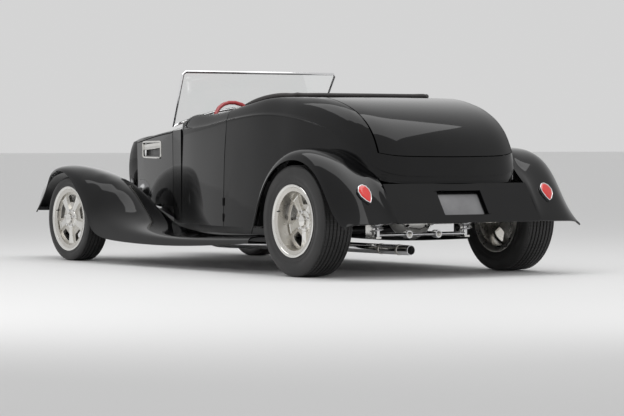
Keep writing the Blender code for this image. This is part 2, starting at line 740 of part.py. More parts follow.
def body_side_y(x, z):
    """Return the half width of the quarter panel's outer surface at a place."""
    def row_at(column):
        return halve(lambda row: body_point(column, row).z >= z, 0, 1)

    column = halve(lambda place: body_point(place, row_at(place)).x <= x, DOOR_COLUMN_COUNT, LID_COLUMN)
    return body_point(column, row_at(column)).y


def body_half_width(x):
    """Return the half width of the body or hood at its foot at a place along the car."""
    share = (x - REAR_AXLE_X) / WHEELBASE
    stations = [row[:2] for row in reversed(body_column_shares[:-3])]
    stations += [row[:2] for row in reversed(hood_station_shares)]
    if share <= stations[0][0]:
        return stations[0][1] * BODY_HALF_WIDTH
    for (x0, y0), (x1, y1) in zip(stations, stations[1:]):
        if share <= x1:
            return (y0 + (y1 - y0) * (share - x0) / (x1 - x0)) * BODY_HALF_WIDTH
    return stations[-1][1] * BODY_HALF_WIDTH


def make_tub(palette):
    """Quarter panels and tail in one shell, with the deck opening."""
    half = column_step(DOOR_COLUMN_COUNT, SIDE_ROW_SHARE)
    lid = column_step(LID_COLUMN, LID_TOP_ROW_SHARE)
    left = [DOOR_COLUMN_COUNT + half] + [share * TAIL_COLUMN for share in quarter_column_shares]
    left += [LID_COLUMN - lid] + [share * TAIL_COLUMN for share in lid_column_shares]
    columns = left + [TAIL_COLUMN] + [2 * TAIL_COLUMN - column for column in reversed(left)]
    low, top = row_step(TAIL_COLUMN, LID_LOW_ROW_SHARE), row_step(TAIL_COLUMN, LID_TOP_ROW_SHARE)
    moves = {LID_LOW_ROW_SHARE: LID_LOW_ROW_SHARE - low, LID_TOP_ROW_SHARE: lid_seam_row(top)}
    rows = [moves.get(row, row) for row in tail_row_shares]
    first, last = left.index(LID_COLUMN - lid), len(columns) - 1 - left.index(LID_COLUMN - lid)
    bottom, above = tail_row_shares.index(LID_LOW_ROW_SHARE), tail_row_shares.index(LID_TOP_ROW_SHARE)

    def in_opening(i, j):
        return first <= i < last and bottom <= j < above

    outer = body_grid(columns, rows, 0.0, BEAD_RISE)
    inner = body_grid(columns, rows, BODY_WALL, 0.0)
    tub = thick_sheet("body_tub", outer, inner, palette["paint"], in_opening)
    pins = []
    axis = lid_axis()
    reach = LID_PIN_SHARE * body_point(LID_COLUMN, LID_TOP_ROW_SHARE).y
    for _, side in SIDES:
        start, end = LEFT * side * reach, LEFT * side * (reach + HINGE_PIN_LENGTH)
        pins.append(rod("lid_pin", axis + start, axis + end, HINGE_PIN_RADIUS, 8, palette["paint"]))
        foot = door_axis(side)
        back = foot - (FORWARD + LEFT * side) * HINGE_PIN_RADIUS * 3
        for lift in (HINGE_PIN_FOOT, HINGE_PIN_FOOT + HINGE_PIN_LENGTH * 2):
            low, high = foot + UP * lift, foot + UP * (lift + HINGE_PIN_LENGTH)
            pins.append(rod("door_pin", low, high, DOOR_PIN_RADIUS, 8, palette["paint"]))
            pins.append(box(
                "door_pin_ear", (back.x, min(back.y, foot.y), low.z + SEAT_GAP),
                (foot.x, max(back.y, foot.y), high.z - SEAT_GAP), palette["paint"],
            ))
    return combine(tub, pins, "UNION")


def make_lid(palette):
    """Deck lid between the tail's seams, with its origin on its front edge."""
    lid = column_step(LID_COLUMN, LID_TOP_ROW_SHARE)
    left = [LID_COLUMN + lid] + [share * TAIL_COLUMN for share in lid_column_shares]
    columns = left + [TAIL_COLUMN] + [2 * TAIL_COLUMN - column for column in reversed(left)]
    low, top = row_step(TAIL_COLUMN, LID_LOW_ROW_SHARE), row_step(TAIL_COLUMN, LID_TOP_ROW_SHARE)
    middle = [row for row in tail_row_shares if LID_LOW_ROW_SHARE < row < LID_TOP_ROW_SHARE]
    rows = [LID_LOW_ROW_SHARE + low] + middle + [lid_seam_row(-top)]
    wall = BODY_WALL / 2
    outer = body_grid(columns, rows, 0.0, 0.0)
    inner = body_grid(columns, rows, wall, 0.0)
    item = thick_sheet("deck_lid", outer, inner, palette["paint"])
    set_origin(item, lid_axis())
    return item


def lid_seam_row(shift):
    """Return a function that gives the row of the lid's straight front seam on a column, moved by a share."""
    x = body_point(TAIL_COLUMN, LID_TOP_ROW_SHARE).x

    def row_on(column):
        near = max(min(column, 2 * TAIL_COLUMN - column), LID_COLUMN)
        return halve(lambda row: body_point(near, row).x >= x, LID_LOW_ROW_SHARE, 1) + shift

    return row_on


def lid_axis():
    """Return the middle of the deck lid's hinge line, on the body's side of its front seam."""
    point = body_point(TAIL_COLUMN, LID_TOP_ROW_SHARE)
    return Vector((point.x + LID_AXIS_SHIFT, 0, point.z - LID_AXIS_DROP))


def make_doors(palette):
    """Doors hinged at their rear edges."""
    half = column_step(DOOR_COLUMN_COUNT, SIDE_ROW_SHARE)
    columns = spread(0, DOOR_COLUMN_COUNT - half, 8)
    outer = body_grid(columns, door_row_shares, 0.0, BEAD_RISE)
    inner = body_grid(columns, door_row_shares, BODY_WALL, 0.0)
    for label, side in SIDES:
        item = thick_sheet("door_" + label, mirrored(outer, side), mirrored(inner, side), palette["paint"])
        set_origin(item, door_axis(side))


def door_axis(side):
    """Return the foot of a door's hinge line."""
    foot = body_point(DOOR_COLUMN_COUNT, 0.0)
    return Vector((foot.x, side * (foot.y + PANEL_GAP / 2), foot.z))


def hood_section(shares, inset, drop):
    """Return the left half of a hood or cowl section from its foot over the seam to the middle."""
    x, foot_y, seam_y, foot_z, seam_z, middle_z = shares
    foot = Vector((along(x), foot_y * BODY_HALF_WIDTH - inset, foot_z * BODY_HEIGHT))
    seam = Vector((along(x), seam_y * BODY_HALF_WIDTH - inset, seam_z * BODY_HEIGHT - drop))
    top = []
    for share in hood_top_shares:
        rise = (middle_z - seam_z) * BODY_HEIGHT * (1 - share ** HOOD_ROUNDNESS)
        top.append(Vector((along(x), seam.y * share, seam.z + rise)))
    return [foot, (foot + seam) / 2, seam], top


def full_arch(shares, inset, drop):
    """Return a whole section from the left foot to the right foot."""
    side, top = hood_section(shares, inset, drop)
    left = side + top
    return left + [Vector((p.x, -p.y, p.z)) for p in reversed(left[:-1])]


def make_cowl(palette):
    """Cowl between hood and doors."""
    outer = [full_arch(station, 0.0, 0.0) for station in cowl_station_shares]
    inner = [full_arch(station, BODY_WALL, BODY_WALL / 2) for station in cowl_station_shares]
    cowl = thick_sheet("cowl", outer, inner, palette["paint"], None, 25)
    axis, reach = hood_axis(), LEFT * HINGE_PIN_LENGTH
    pin = rod("hood_pin", axis - reach, axis + reach, HINGE_PIN_RADIUS, 8, palette["paint"])
    ear = box(
        "hood_pin_ear", axis - reach * CROSSOVER_SHARE - Vector((PANEL_GAP, 0, HINGE_PIN_RADIUS * 2)),
        axis + reach * CROSSOVER_SHARE, palette["paint"],
    )
    return combine(cowl, [pin, ear], "UNION")


def hood_axis():
    """Return the middle of the hood's hinge line, in the seam at the cowl."""
    x = (along(hood_station_shares[-1][0]) + along(cowl_station_shares[0][0])) / 2
    return Vector((x, 0, hood_station_shares[-1][5] * BODY_HEIGHT - HINGE_PIN_RADIUS))


def make_hood(palette):
    """Hood top hinged at the cowl, and the two side panels with their vents."""
    places = spread(0, len(hood_station_shares) - 1, 6)
    stations = [spline(hood_station_shares, place) for place in places]

    def top_section(station, drop):
        side, top = hood_section(station, 0.0, drop)
        left = [side[2]] + top
        return left + [Vector((p.x, -p.y, p.z)) for p in reversed(left[:-1])]

    outer = [top_section(station, 0.0) for station in stations]
    inner = [top_section(station, SHEET_WALL) for station in stations]
    top = thick_sheet("hood_top", outer, inner, palette["paint"])
    set_origin(top, hood_axis())
    for label, side in SIDES:
        outside, inside = [], []
        for station in stations:
            x, foot_y, seam_y, foot_z, seam_z, _ = station
            foot = Vector((along(x), foot_y * BODY_HALF_WIDTH, foot_z * BODY_HEIGHT))
            head = seam_z * BODY_HEIGHT - SHEET_WALL - PANEL_GAP
            seam = Vector((along(x), seam_y * BODY_HALF_WIDTH, head))
            outside.append([foot.lerp(seam, share) for share in (0, 0.5, 1)])
            inside.append([p - LEFT * SHEET_WALL for p in outside[-1]])
        panel = thick_sheet(
            "hood_side_" + label, mirrored(outside, side), mirrored(inside, side), palette["paint"],
        )
        combine(panel, [vent_cutter(side, palette)], "DIFFERENCE")


def vent_cutter(side, palette):
    """Return the block that opens a hood side's vent."""
    x = along(VENT_SHARE)
    top = hood_station_shares[2][4] * BODY_HEIGHT - VENT_DROP / 2
    low = Vector((x - VENT_LENGTH / 2, SHELL_HALF_WIDTH * side, top - VENT_HEIGHT))
    high = Vector((x + VENT_LENGTH / 2, HALF_WIDTH * side, top))
    if side < 0:
        low.y, high.y = high.y, low.y
    return box("vent_cutter", low, high, palette["paint"])


# Fenders

def front_fender_stations():
    """Return the front fender's stations in metres, nose first."""
    stations = []
    for cx, cz, lx, lz, ly, gap, iz, roundness in front_arch_shares:
        crown_x, lip_x = (FRONT_AXLE_X + share * FRONT_TYRE_RADIUS for share in (cx, lx))
        stations.append((crown_x, cz, lip_x, lz, ly, gap, iz, roundness))
    for cx, cz, lx, lz, ly, gap, iz, roundness in running_board_shares:
        stations.append((along(cx), cz, along(lx), lz, ly, gap, iz, roundness))
    return stations


def fender_section(inner, crown, lip, roundness, inner_steps, outer_steps):
    """Return a section from the inner edge over the crown to the lip."""
    points = []
    for angle in spread(0, math.pi / 2, inner_steps)[:-1]:
        across, up = superellipse(angle, roundness)
        points.append(Vector((
            crown.x + (inner.x - crown.x) * across,
            crown.y + (inner.y - crown.y) * across,
            inner.z + (crown.z - inner.z) * up,
        )))
    for angle in spread(math.pi / 2, 0, outer_steps):
        across, up = superellipse(max(angle, 0.0), roundness)
        points.append(Vector((
            crown.x + (lip.x - crown.x) * across,
            crown.y + (lip.y - crown.y) * across,
            lip.z + (crown.z - lip.z) * up,
        )))
    return points


def apron_half_width(x):
    """Return how far in the front fenders' aprons come, clear of the hood sides and rails."""
    rail_side = rail_station_shares[9][1] * BODY_HALF_WIDTH + RAIL_WIDTH / 2
    return max(body_half_width(x), rail_side) + APRON_GAP


def make_front_fenders(palette):
    """Front fenders that sweep into the running boards."""
    stations = front_fender_stations()
    grid = []
    for place in spread(0, len(stations) - 1, 25):
        crown_x, cz, lip_x, lz, ly, gap, iz, roundness = spline(stations, place)
        crown = Vector((crown_x, FRONT_CROWN_Y_SHARE * HALF_WIDTH, cz * FRONT_TYRE_RADIUS))
        lip = Vector((lip_x, ly * HALF_WIDTH, lz * FRONT_TYRE_RADIUS))
        inner_y = body_half_width(crown_x) + gap * HALF_WIDTH
        inner = Vector((crown_x, inner_y, iz * FRONT_TYRE_RADIUS))
        section = fender_section(inner, crown, lip, roundness, 4, 6)
        apron = min(max(place / APRON_STEPS, APRON_NOSE_SHARE), 1.0)
        reach = max(inner_y - apron_half_width(crown_x), 0.0) * apron
        grid.append([inner - LEFT * reach] + section)
    inner_grid = offset_grid(grid, SHEET_WALL)
    for label, side in SIDES:
        outside, inside = mirrored(grid, side), mirrored(inner_grid, side)
        thick_sheet("front_fender_" + label, outside, inside, palette["paint"])


def rear_fender_station(place):
    """Return the inner edge, crown and lip of the left rear fender at a place along its table."""
    cx, cz, lx, lz, ix, iy, iz = spline(rear_arch_shares, place)
    unit = REAR_TYRE_RADIUS
    crown = Vector((REAR_AXLE_X + cx * unit, REAR_CROWN_Y_SHARE * HALF_WIDTH, cz * unit))
    lip = Vector((REAR_AXLE_X + lx * unit, HALF_WIDTH, lz * unit))
    inner = Vector((REAR_AXLE_X + ix * unit, iy * HALF_WIDTH, iz * unit))
    inner.y = max(inner.y, flange_y(place, inner) + FLANGE_LEAST)
    return inner, crown, lip


def rear_fender_grid():
    """Return the left rear fender's outer grid."""
    grid = []
    for place in spread(0, len(rear_arch_shares) - 1, 20):
        inner, crown, lip = rear_fender_station(place)
        section = fender_section(inner, crown, lip, REAR_ROUNDNESS, 4, 5)
        grid.append([Vector((inner.x, flange_y(place, inner), inner.z))] + section)
    return grid


def flange_y(place, inner):
    """Return where the rear fender's inner flange ends, on the tub or beside the pan."""
    pan = PAN_HALF_WIDTH + SEAT_GAP
    tub = body_side_y(inner.x, inner.z) + FLANGE_LIFT
    share = min(max((place - FLANGE_TUB_STEPS) / (FLANGE_PAN_STEPS - FLANGE_TUB_STEPS), 0), 1)
    return max(tub + (pan - tub) * share, pan)


def make_rear_fenders(palette):
    """Rear fenders that wrap the rear wheels."""
    grid = rear_fender_grid()
    inner_grid = offset_grid(grid, SHEET_WALL)
    for outer, inner in zip(grid, inner_grid):
        inner[0].y = outer[0].y
    for label, side in SIDES:
        outside, inside = mirrored(grid, side), mirrored(inner_grid, side)
        thick_sheet("rear_fender_" + label, outside, inside, palette["paint"])


def make_pan(palette):
    """Rear pan between the fenders, with the sunk plate recess."""
    unit = REAR_TYRE_RADIUS
    top = Vector((REAR_AXLE_X + PAN_TOP_SHARES[0] * unit, 0, PAN_TOP_SHARES[1] * unit))
    foot = Vector((REAR_AXLE_X + PAN_FOOT_SHARES[0] * unit, 0, PAN_FOOT_SHARES[1] * unit))
    length = (top - foot).length
    half_width, half_height = PLATE_RECESS_WIDTH / 2, PLATE_RECESS_HEIGHT / 2
    middle, depth = length / 2, PLATE_RECESS_DEPTH
    pan = box("rear_pan", (0, -PAN_HALF_WIDTH, 0), (SHEET_WALL, PAN_HALF_WIDTH, length), palette["paint"])
    surround = box(
        "recess_surround", (0, -half_width - SHEET_WALL, middle - half_height - SHEET_WALL),
        (depth + SHEET_WALL, half_width + SHEET_WALL, middle + half_height + SHEET_WALL), palette["paint"],
    )
    cut = box(
        "recess_cut", (-CUT_OVERRUN, -half_width, middle - half_height),
        (depth, half_width, middle + half_height), palette["paint"],
    )
    plate = box(
        "plate", (depth - PLATE_WALL, -PLATE_WIDTH / 2, middle - PLATE_HEIGHT / 2),
        (depth + PLATE_WALL, PLATE_WIDTH / 2, middle + PLATE_HEIGHT / 2), palette["paint"],
    )
    combine(pan, [surround], "UNION")
    combine(pan, [cut], "DIFFERENCE")
    combine(pan, [plate], "UNION")
    slope = (top - foot).angle(UP)
    pan.data.transform(Matrix.Translation(foot) @ Matrix.Rotation(slope, 4, "Y"))
    return pan


# Front end

def shell_outline(inset):
    """Return the whole outline of the radiator shell as (y, z), moved in by an inset."""
    half = [spline(shell_outline_shares, place) for place in spread(0, len(shell_outline_shares) - 1, 13)]
    height = SHELL_TOP - SHELL_FOOT
    left = [
        (y * (SHELL_HALF_WIDTH - inset), SHELL_FOOT + inset + z * (height - 2 * inset))
        for y, z in half
    ]
    return left + [(-y, z) for y, z in reversed(left[1:-1])]


def shell_place(y, z, forward):
    """Return a point of the raked shell, a distance forward of its rear plane."""
    rake = SHELL_RAKE * (SHELL_TOP - z) / (SHELL_TOP - SHELL_FOOT)
    rear = along(hood_station_shares[0][0]) + PANEL_GAP
    return Vector((rear + rake * forward / SHELL_DEPTH + forward, y, z))


def make_shell(palette):
    """Radiator shell: a raked ring with a rounded front edge."""
    wall = GRILLE_FRAME_WALL
    rings = []
    bm = bmesh.new()
    for inset, forward in shell_ring_shares:
        outline = shell_outline(inset * wall)
        rings.append([bm.verts.new(shell_place(y, z, forward * SHELL_DEPTH)) for y, z in outline])
    count = len(rings[0])
    for ring, following in zip(rings, rings[1:] + rings[:1]):
        for step in range(count):
            other = (step + 1) % count
            bm.faces.new((ring[step], ring[other], following[other], following[step]))
    return finish("grille_shell", bm, palette["paint"], 35)


def make_grille(palette):
    """Grille insert: a raked plate with upright slots between bars."""
    inset = GRILLE_FRAME_WALL + SEAT_GAP
    outline = shell_outline(inset)
    middle = SHELL_DEPTH * GRILLE_DEPTH_SHARE
    face = [shell_place(y, z, middle) for y, z in outline]
    plate = prism("grille_insert", face, FORWARD * GRILLE_THICKNESS, palette["chrome"])
    half_width = max(y for y, _ in outline)
    pitch = 2 * half_width / (GRILLE_BARS + 1)
    rim = pitch * GRILLE_EDGE_SHARE
    left = sorted(((z, y) for y, z in outline if y >= 0))
    bm = bmesh.new()
    for index in range(GRILLE_BARS):
        y = -half_width + pitch * (index + 1)
        reach = abs(y) + pitch / 2
        inside = [z for z, edge in left if edge > reach]
        low, high = min(inside) + rim, max(inside) - rim
        corners = []
        for side, z in ((-1, low), (1, low), (1, high), (-1, high)):
            place = shell_place(y + side * pitch * GRILLE_SLOT_SHARE, z, middle)
            corners.append(bm.verts.new(place - FORWARD * CUT_OVERRUN))
        made = bmesh.ops.extrude_face_region(bm, geom=[bm.faces.new(corners)])
        verts = [item for item in made["geom"] if isinstance(item, bmesh.types.BMVert)]
        bmesh.ops.translate(bm, verts=verts, vec=FORWARD * (2 * CUT_OVERRUN + GRILLE_THICKNESS))
    slots = finish("grille_slots", bm, palette["chrome"])
    return combine(plate, [slots], "DIFFERENCE")


def rail_point(place, side):
    """Return a point on a frame rail's middle line."""
    x, y, z = spline(rail_station_shares, place)
    return Vector((along(x), side * y * BODY_HALF_WIDTH, z * BODY_HEIGHT))


def make_headlamps(palette):
    """Headlamps on posts that stand on the frame horns."""
    horn = rail_point(len(rail_station_shares) - 1, 1)
    foot_z = horn.z + RAIL_HEIGHT / 2 + SEAT_GAP
    centre_z = foot_z + LAMP_RADIUS + LAMP_POST_RADIUS
    profile = [(r * LAMP_RADIUS, x * LAMP_DEPTH) for r, x in headlamp_profile_shares]
    for label, side in SIDES:
        x = horn.x - LAMP_POST_RADIUS * 2
        lamp = revolve("headlamp_" + label, profile, 16, palette["chrome"], FORWARD)
        lamp.location = Vector((x, horn.y * side, centre_z))
        apply_location(lamp)
        post = rod(
            "lamp_post", (x, horn.y * side, foot_z), (x, horn.y * side, centre_z), LAMP_POST_RADIUS, 12,
            palette["chrome"],
        )
        combine(lamp, [post], "UNION")


def apply_location(item):
    """Move a shape's points by its location and reset the location."""
    item.data.transform(Matrix.Translation(item.location))
    item.location = (0, 0, 0)


def make_tail_lamps(palette):
    """Teardrop tail lamps on the rear faces of the rear fenders."""
    def surface(place, angle):
        inner, crown, _ = rear_fender_station(place)
        across, up = superellipse(angle, REAR_ROUNDNESS)
        return Vector((
            crown.x + (inner.x - crown.x) * across, crown.y + (inner.y - crown.y) * across,
            inner.z + (crown.z - inner.z) * up,
        ))

    step, angle = NEAR_COLUMNS * 10, TAIL_LAMP_ANGLE
    place = TAIL_LAMP_SHARE * (len(rear_arch_shares) - 1)
    centre = surface(place, angle)
    up = (surface(place - step, angle) - surface(place + step, angle)).normalized()
    aside = surface(place, angle + step) - surface(place, angle - step)
    outward = aside.cross(up).normalized()
    if outward.x > 0:
        outward = -outward
    aside = up.cross(outward).normalized()
    for label, side in SIDES:
        outline = []
        for right, rise in tail_lamp_shares:
            point = centre + aside * right * TAIL_LAMP_WIDTH + up * rise * TAIL_LAMP_LENGTH
            point += outward * TAIL_LAMP_LIFT
            outline.append(Vector((point.x, point.y * side, point.z)))
        depth = Vector((outward.x, outward.y * side, outward.z)) * TAIL_LAMP_DEPTH
        prism("tail_lamp_" + label, outline, depth, palette["lens"])


# Windshield and cockpit

def windshield_place(y, rise, depth=0.0):
    """Return a point of the raked windshield plane."""
    foot_x = along(cowl_station_shares[1][0]) - WINDSHIELD_TUBE_RADIUS
    foot_z = cowl_station_shares[1][4] * BODY_HEIGHT + WINDSHIELD_FOOT_RISE
    x = foot_x - rise * math.sin(WINDSHIELD_RAKE) + depth * math.cos(WINDSHIELD_RAKE)
    return Vector((x, y, foot_z + rise * math.cos(WINDSHIELD_RAKE) + depth * math.sin(WINDSHIELD_RAKE)))


def windshield_outline():
    """Return the windshield's outline as (y, rise): the foot follows the cowl's crown."""
    crown = (cowl_station_shares[2][5] - cowl_station_shares[1][4]) * BODY_HEIGHT
    foot = []
    for share in windshield_foot_shares:
        foot.append((share * WINDSHIELD_FOOT_HALF_WIDTH, crown * (1 - abs(share) ** HOOD_ROUNDNESS)))
    corner = WINDSHIELD_CORNER
    half, top = WINDSHIELD_TOP_HALF_WIDTH, WINDSHIELD_HEIGHT
    return foot + [(half, top - corner), (half - corner, top), (corner - half, top), (-half, top - corner)]


def inset_outline(outline, distance):
    """Return an anticlockwise outline with each edge moved in by a distance."""
    count = len(outline)
    moved = []
    for index, (x, y) in enumerate(outline):
        before, after = outline[index - 1], outline[(index + 1) % count]
        normals = []
        for start, end in ((before, (x, y)), ((x, y), after)):
            length = math.hypot(end[0] - start[0], end[1] - start[1])
            normals.append(((start[1] - end[1]) / length, (end[0] - start[0]) / length))
        (ax, ay), (bx, by) = normals
        reach = distance / (1 + ax * bx + ay * by)
        moved.append((x + (ax + bx) * reach, y + (ay + by) * reach))
    return moved


def make_windshield(palette):
    """Windshield frame and pane."""
    outline = windshield_outline()
    path = [windshield_place(y, rise) for y, rise in outline]
    tube("windshield_frame", path, WINDSHIELD_TUBE_RADIUS, 8, palette["chrome"], True)
    inner = inset_outline(outline, WINDSHIELD_TUBE_RADIUS + SEAT_GAP)
    pane = [windshield_place(y, rise, -WINDSHIELD_GLASS / 2) for y, rise in inner]
    depth = windshield_place(0, 0, WINDSHIELD_GLASS) - windshield_place(0, 0)
    prism("windshield_glass", pane, depth, palette["glass"])


def make_coaming(palette):
    """Padded roll along the rear rim of the cockpit."""
    half = spread(quarter_column_shares[0] * TAIL_COLUMN, TAIL_COLUMN, 11)
    left = []
    for column in half:
        rim = body_point(column, 1.0) + UP * (COAMING_RADIUS + SEAT_GAP)
        left.append(rim - plan_normal(column) * COAMING_RADIUS)
    path = left + [Vector((p.x, -p.y, p.z)) for p in reversed(left[:-1])]
    return tube("cockpit_coaming", path, COAMING_RADIUS, 8, palette["trim"])


def make_dashboard(palette):
    """Dash top and face between the doors, behind the cowl."""
    front = cowl_station_shares[-1]
    front_x = along(front[0]) - PANEL_GAP / 2
    rear_x = along(body_column_shares[1][0])
    half_width = body_column_shares[0][4] * BODY_HALF_WIDTH - BODY_WALL - PANEL_GAP * 2
    crown = (front[5] - front[4]) * BODY_HEIGHT
    edge_z = front[4] * BODY_HEIGHT - BODY_WALL / 2
    rise, depth, wall = DASH_RISE, DASH_FACE_DEPTH, DASH_WALL
    crown_share, brow_share = dash_crown_shares
    profile = [
        (front_x, 0.0), ((front_x + rear_x) / 2, rise * crown_share), (rear_x + wall, rise),
        (rear_x, rise * brow_share), (rear_x + wall, -depth * brow_share), (rear_x + wall * 2, -depth),
        (rear_x + wall * 3, -depth), (rear_x + wall * 2, -wall), (front_x, -wall),
    ]
    rings = []
    bm = bmesh.new()
    for y in spread(-half_width, half_width, 9):
        lift = crown * (1 - abs(y / half_width) ** HOOD_ROUNDNESS)
        rings.append([bm.verts.new((x, y, edge_z + lift + z)) for x, z in profile])
    count = len(profile)
    for ring, following in zip(rings, rings[1:]):
        for step in range(count):
            other = (step + 1) % count
            bm.faces.new((ring[step], ring[other], following[other], following[step]))
    bm.faces.new(rings[0])
    bm.faces.new(rings[-1])
    dash = finish("dashboard", bm, palette["trim"])
    centre, axis = steering_centre(), steering_axis()
    bore = rod(
        "column_bore", centre, centre - axis * STEERING_WHEEL_RADIUS * 4, COLUMN_RADIUS + SEAT_GAP, 16,
        palette["trim"],
    )
    return combine(dash, [bore], "DIFFERENCE")


def make_seat(palette):
    """Bench seat: a cushion with a leaning backrest."""
    front_x = along(SEAT_SHARE)
    foot_z = FLOOR_Z + FLOOR_WALL + TUNNEL_HEIGHT + SEAT_GAP
    half_width = SEAT_WIDTH / 2
    cushion = box(
        "bench_seat", (front_x, -half_width, foot_z),
        (front_x + SEAT_DEPTH, half_width, foot_z + SEAT_THICKNESS), palette["leather"], CUSHION_ROUND, 3,
    )
    inner = half_width - SEAT_GAP
    back = box(
        "seat_back", (-BACK_THICKNESS, -inner, 0), (0, inner, BACK_HEIGHT), palette["leather"],
        CUSHION_ROUND, 3,
    )
    back.data.transform(Matrix.Rotation(-BACK_RAKE, 4, "Y"))
    lift = BACK_THICKNESS * math.sin(BACK_RAKE)
    back.data.transform(Matrix.Translation((front_x + CUSHION_ROUND, 0, foot_z + lift)))
    return combine(cushion, [back], "UNION")


def floor_section(x, lift):
    """Return the floor's section at a place, with the gearbox tunnel in the middle."""
    line = []
    for share in tunnel_shares:
        rise = TUNNEL_HEIGHT * (1 - share ** TUNNEL_ROUNDNESS)
        line.append(Vector((x, TUNNEL_HALF_WIDTH * share, FLOOR_Z + rise + lift)))
    gap = PANEL_GAP if x > along(DOOR_REAR_SHARE) else FLOOR_EDGE_GAP
    line.append(Vector((x, body_half_width(x) - BODY_WALL - gap, FLOOR_Z + lift)))
    return [Vector((p.x, -p.y, p.z)) for p in reversed(line[1:])] + line


def make_floor(palette):
    """Floor with its tunnel, and the firewall turned up at its front."""
    outer, inner = [], []
    for share in floor_station_shares:
        outer.append(floor_section(along(share), FLOOR_WALL))
        inner.append(floor_section(along(share), 0.0))
    wall_x = along(cowl_station_shares[0][0]) - FLOOR_WALL
    half_width = body_half_width(wall_x) - BODY_WALL - FIREWALL_GAP
    top = cowl_station_shares[0][4] * BODY_HEIGHT - BODY_WALL
    foot_line = outer[-1]
    for share in firewall_row_shares:
        for target, move in ((outer, 0.0), (inner, FLOOR_WALL)):
            row = []
            for p in foot_line:
                y = max(-half_width, min(half_width, p.y))
                row.append(Vector((wall_x + move, y, p.z + (top - p.z) * share)))
            target.append(row)
    return thick_sheet("floor_and_firewall", outer, inner, palette["steel"], None, 30)


def trunk_floor_z():
    """Return the trunk floor's underside, seated on the highest place of the rails."""
    highest = max(rail_point(place, 1).z for place in spread(0, TRUNK_RAIL_STEPS, 7))
    return highest + RAIL_HEIGHT / 2 + SEAT_GAP


def make_trunk_floor(palette):
    """Trunk floor over the kick-ups, with the leaning bulkhead behind the seat."""
    foot = Vector((along(BULKHEAD_SHARE) - SEAT_GAP, -BULKHEAD_HALF_WIDTH, FLOOR_Z))
    height = BULKHEAD_TOP - FLOOR_Z
    lean = height * math.tan(BACK_RAKE)
    top = foot + UP * height - FORWARD * lean
    thickness = FORWARD * FLOOR_WALL
    outline = [foot, foot - thickness, top - thickness, top]
    bulkhead = prism("trunk_floor", outline, LEFT * 2 * BULKHEAD_HALF_WIDTH, palette["steel"])
    floor_z = trunk_floor_z()
    share = (floor_z - FLOOR_Z) / height
    front_x = foot.x - lean * share - FLOOR_WALL / 2
    rear_x = along(TRUNK_REAR_SHARE)
    middle_x = along(body_column_shares[10][0])
    plan = [
        (front_x, -BULKHEAD_HALF_WIDTH), (middle_x, -TRUNK_HALF_WIDTH), (rear_x, -TRUNK_REAR_HALF_WIDTH),
        (rear_x, TRUNK_REAR_HALF_WIDTH), (middle_x, TRUNK_HALF_WIDTH), (front_x, BULKHEAD_HALF_WIDTH),
    ]
    floor = prism(
        "trunk_plate", [Vector((x, y, floor_z)) for x, y in plan], UP * FLOOR_WALL, palette["steel"],
    )
    front, rear = (along(share) for share in reversed(LUGGAGE_PANEL_SHARES))
    panel_z = floor_z + FLOOR_WALL
    panel = box(
        "luggage_panel", (rear, -LUGGAGE_PANEL_HALF_WIDTH, panel_z - LUGGAGE_PANEL_WALL),
        (front, LUGGAGE_PANEL_HALF_WIDTH, panel_z + LUGGAGE_PANEL_WALL), palette["steel"],
    )
    return combine(bulkhead, [floor, panel], "UNION")


# Chassis

def make_frame(palette):
    """Two rails with kick-ups joined by crossmembers."""
    last = len(rail_station_shares) - 1
    places = spread(0, last, 2 * last + 1)
    rails = []
    for _, side in SIDES:
        rails.append(swept_box(
            "frame_rails", [rail_point(place, side) for place in places], RAIL_WIDTH, RAIL_HEIGHT,
            palette["steel"],
        ))
    frame = rails[0]
    bars = [rails[1]]
    radius = CROSSBAR_RADIUS
    tops = {"gearbox": GEARBOX_FLOOR, "engine": ENGINE_FLOOR}
    for label, place in CROSSBAR_STEPS.items():
        start = rail_point(place, 1)
        if label in tops:
            start.z = tops[label] - SEAT_GAP - radius
        end = Vector((start.x, -start.y, start.z))
        bars.insert(0, rod("crossbar", start, end, radius, 12, palette["steel"]))
    start = rail_point(FRONT_CROSSMEMBER_STEPS, 1)
    bars.insert(0, box(
        "front_crossmember",
        (start.x - CROSSMEMBER_LENGTH / 2, -start.y, CROSSMEMBER_TOP - CROSSMEMBER_HEIGHT),
        (start.x + CROSSMEMBER_LENGTH / 2, start.y, CROSSMEMBER_TOP), palette["steel"],
    ))
    mount = Vector((REAR_AXLE_X + COILOVER_X, 0, COILOVER_TOP + radius + SEAT_GAP))
    reach = LEFT * rail_point(COILOVER_RAIL_STEPS, 1).y
    bars.insert(0, rod("rear_crossbar", mount - reach, mount + reach, radius, 12, palette["steel"]))
    return combine(frame, bars, "UNION")


def make_engine(palette):
    """Engine and gearbox as one plain block."""
    rear_x = along(cowl_station_shares[0][0]) + ENGINE_GAP
    engine = box(
        "engine_block", (rear_x, -ENGINE_WIDTH / 2, ENGINE_FLOOR),
        (rear_x + ENGINE_LENGTH, ENGINE_WIDTH / 2, ENGINE_FLOOR + ENGINE_HEIGHT), palette["iron"],
        ENGINE_ROUND, 2,
    )
    gearbox = box(
        "gearbox", (rear_x - GEARBOX_LENGTH, -GEARBOX_WIDTH / 2, GEARBOX_FLOOR),
        (rear_x + CUT_OVERRUN, GEARBOX_WIDTH / 2, GEARBOX_FLOOR + GEARBOX_HEIGHT), palette["iron"],
        ENGINE_ROUND, 2,
    )
    return combine(engine, [gearbox], "UNION")


def exhaust_point(place, side):
    """Return a point on an exhaust pipe's middle line."""
    x, y, z = spline(exhaust_station_shares, place)
    return Vector((along(x), side * y * BODY_HALF_WIDTH, z * BODY_HEIGHT))


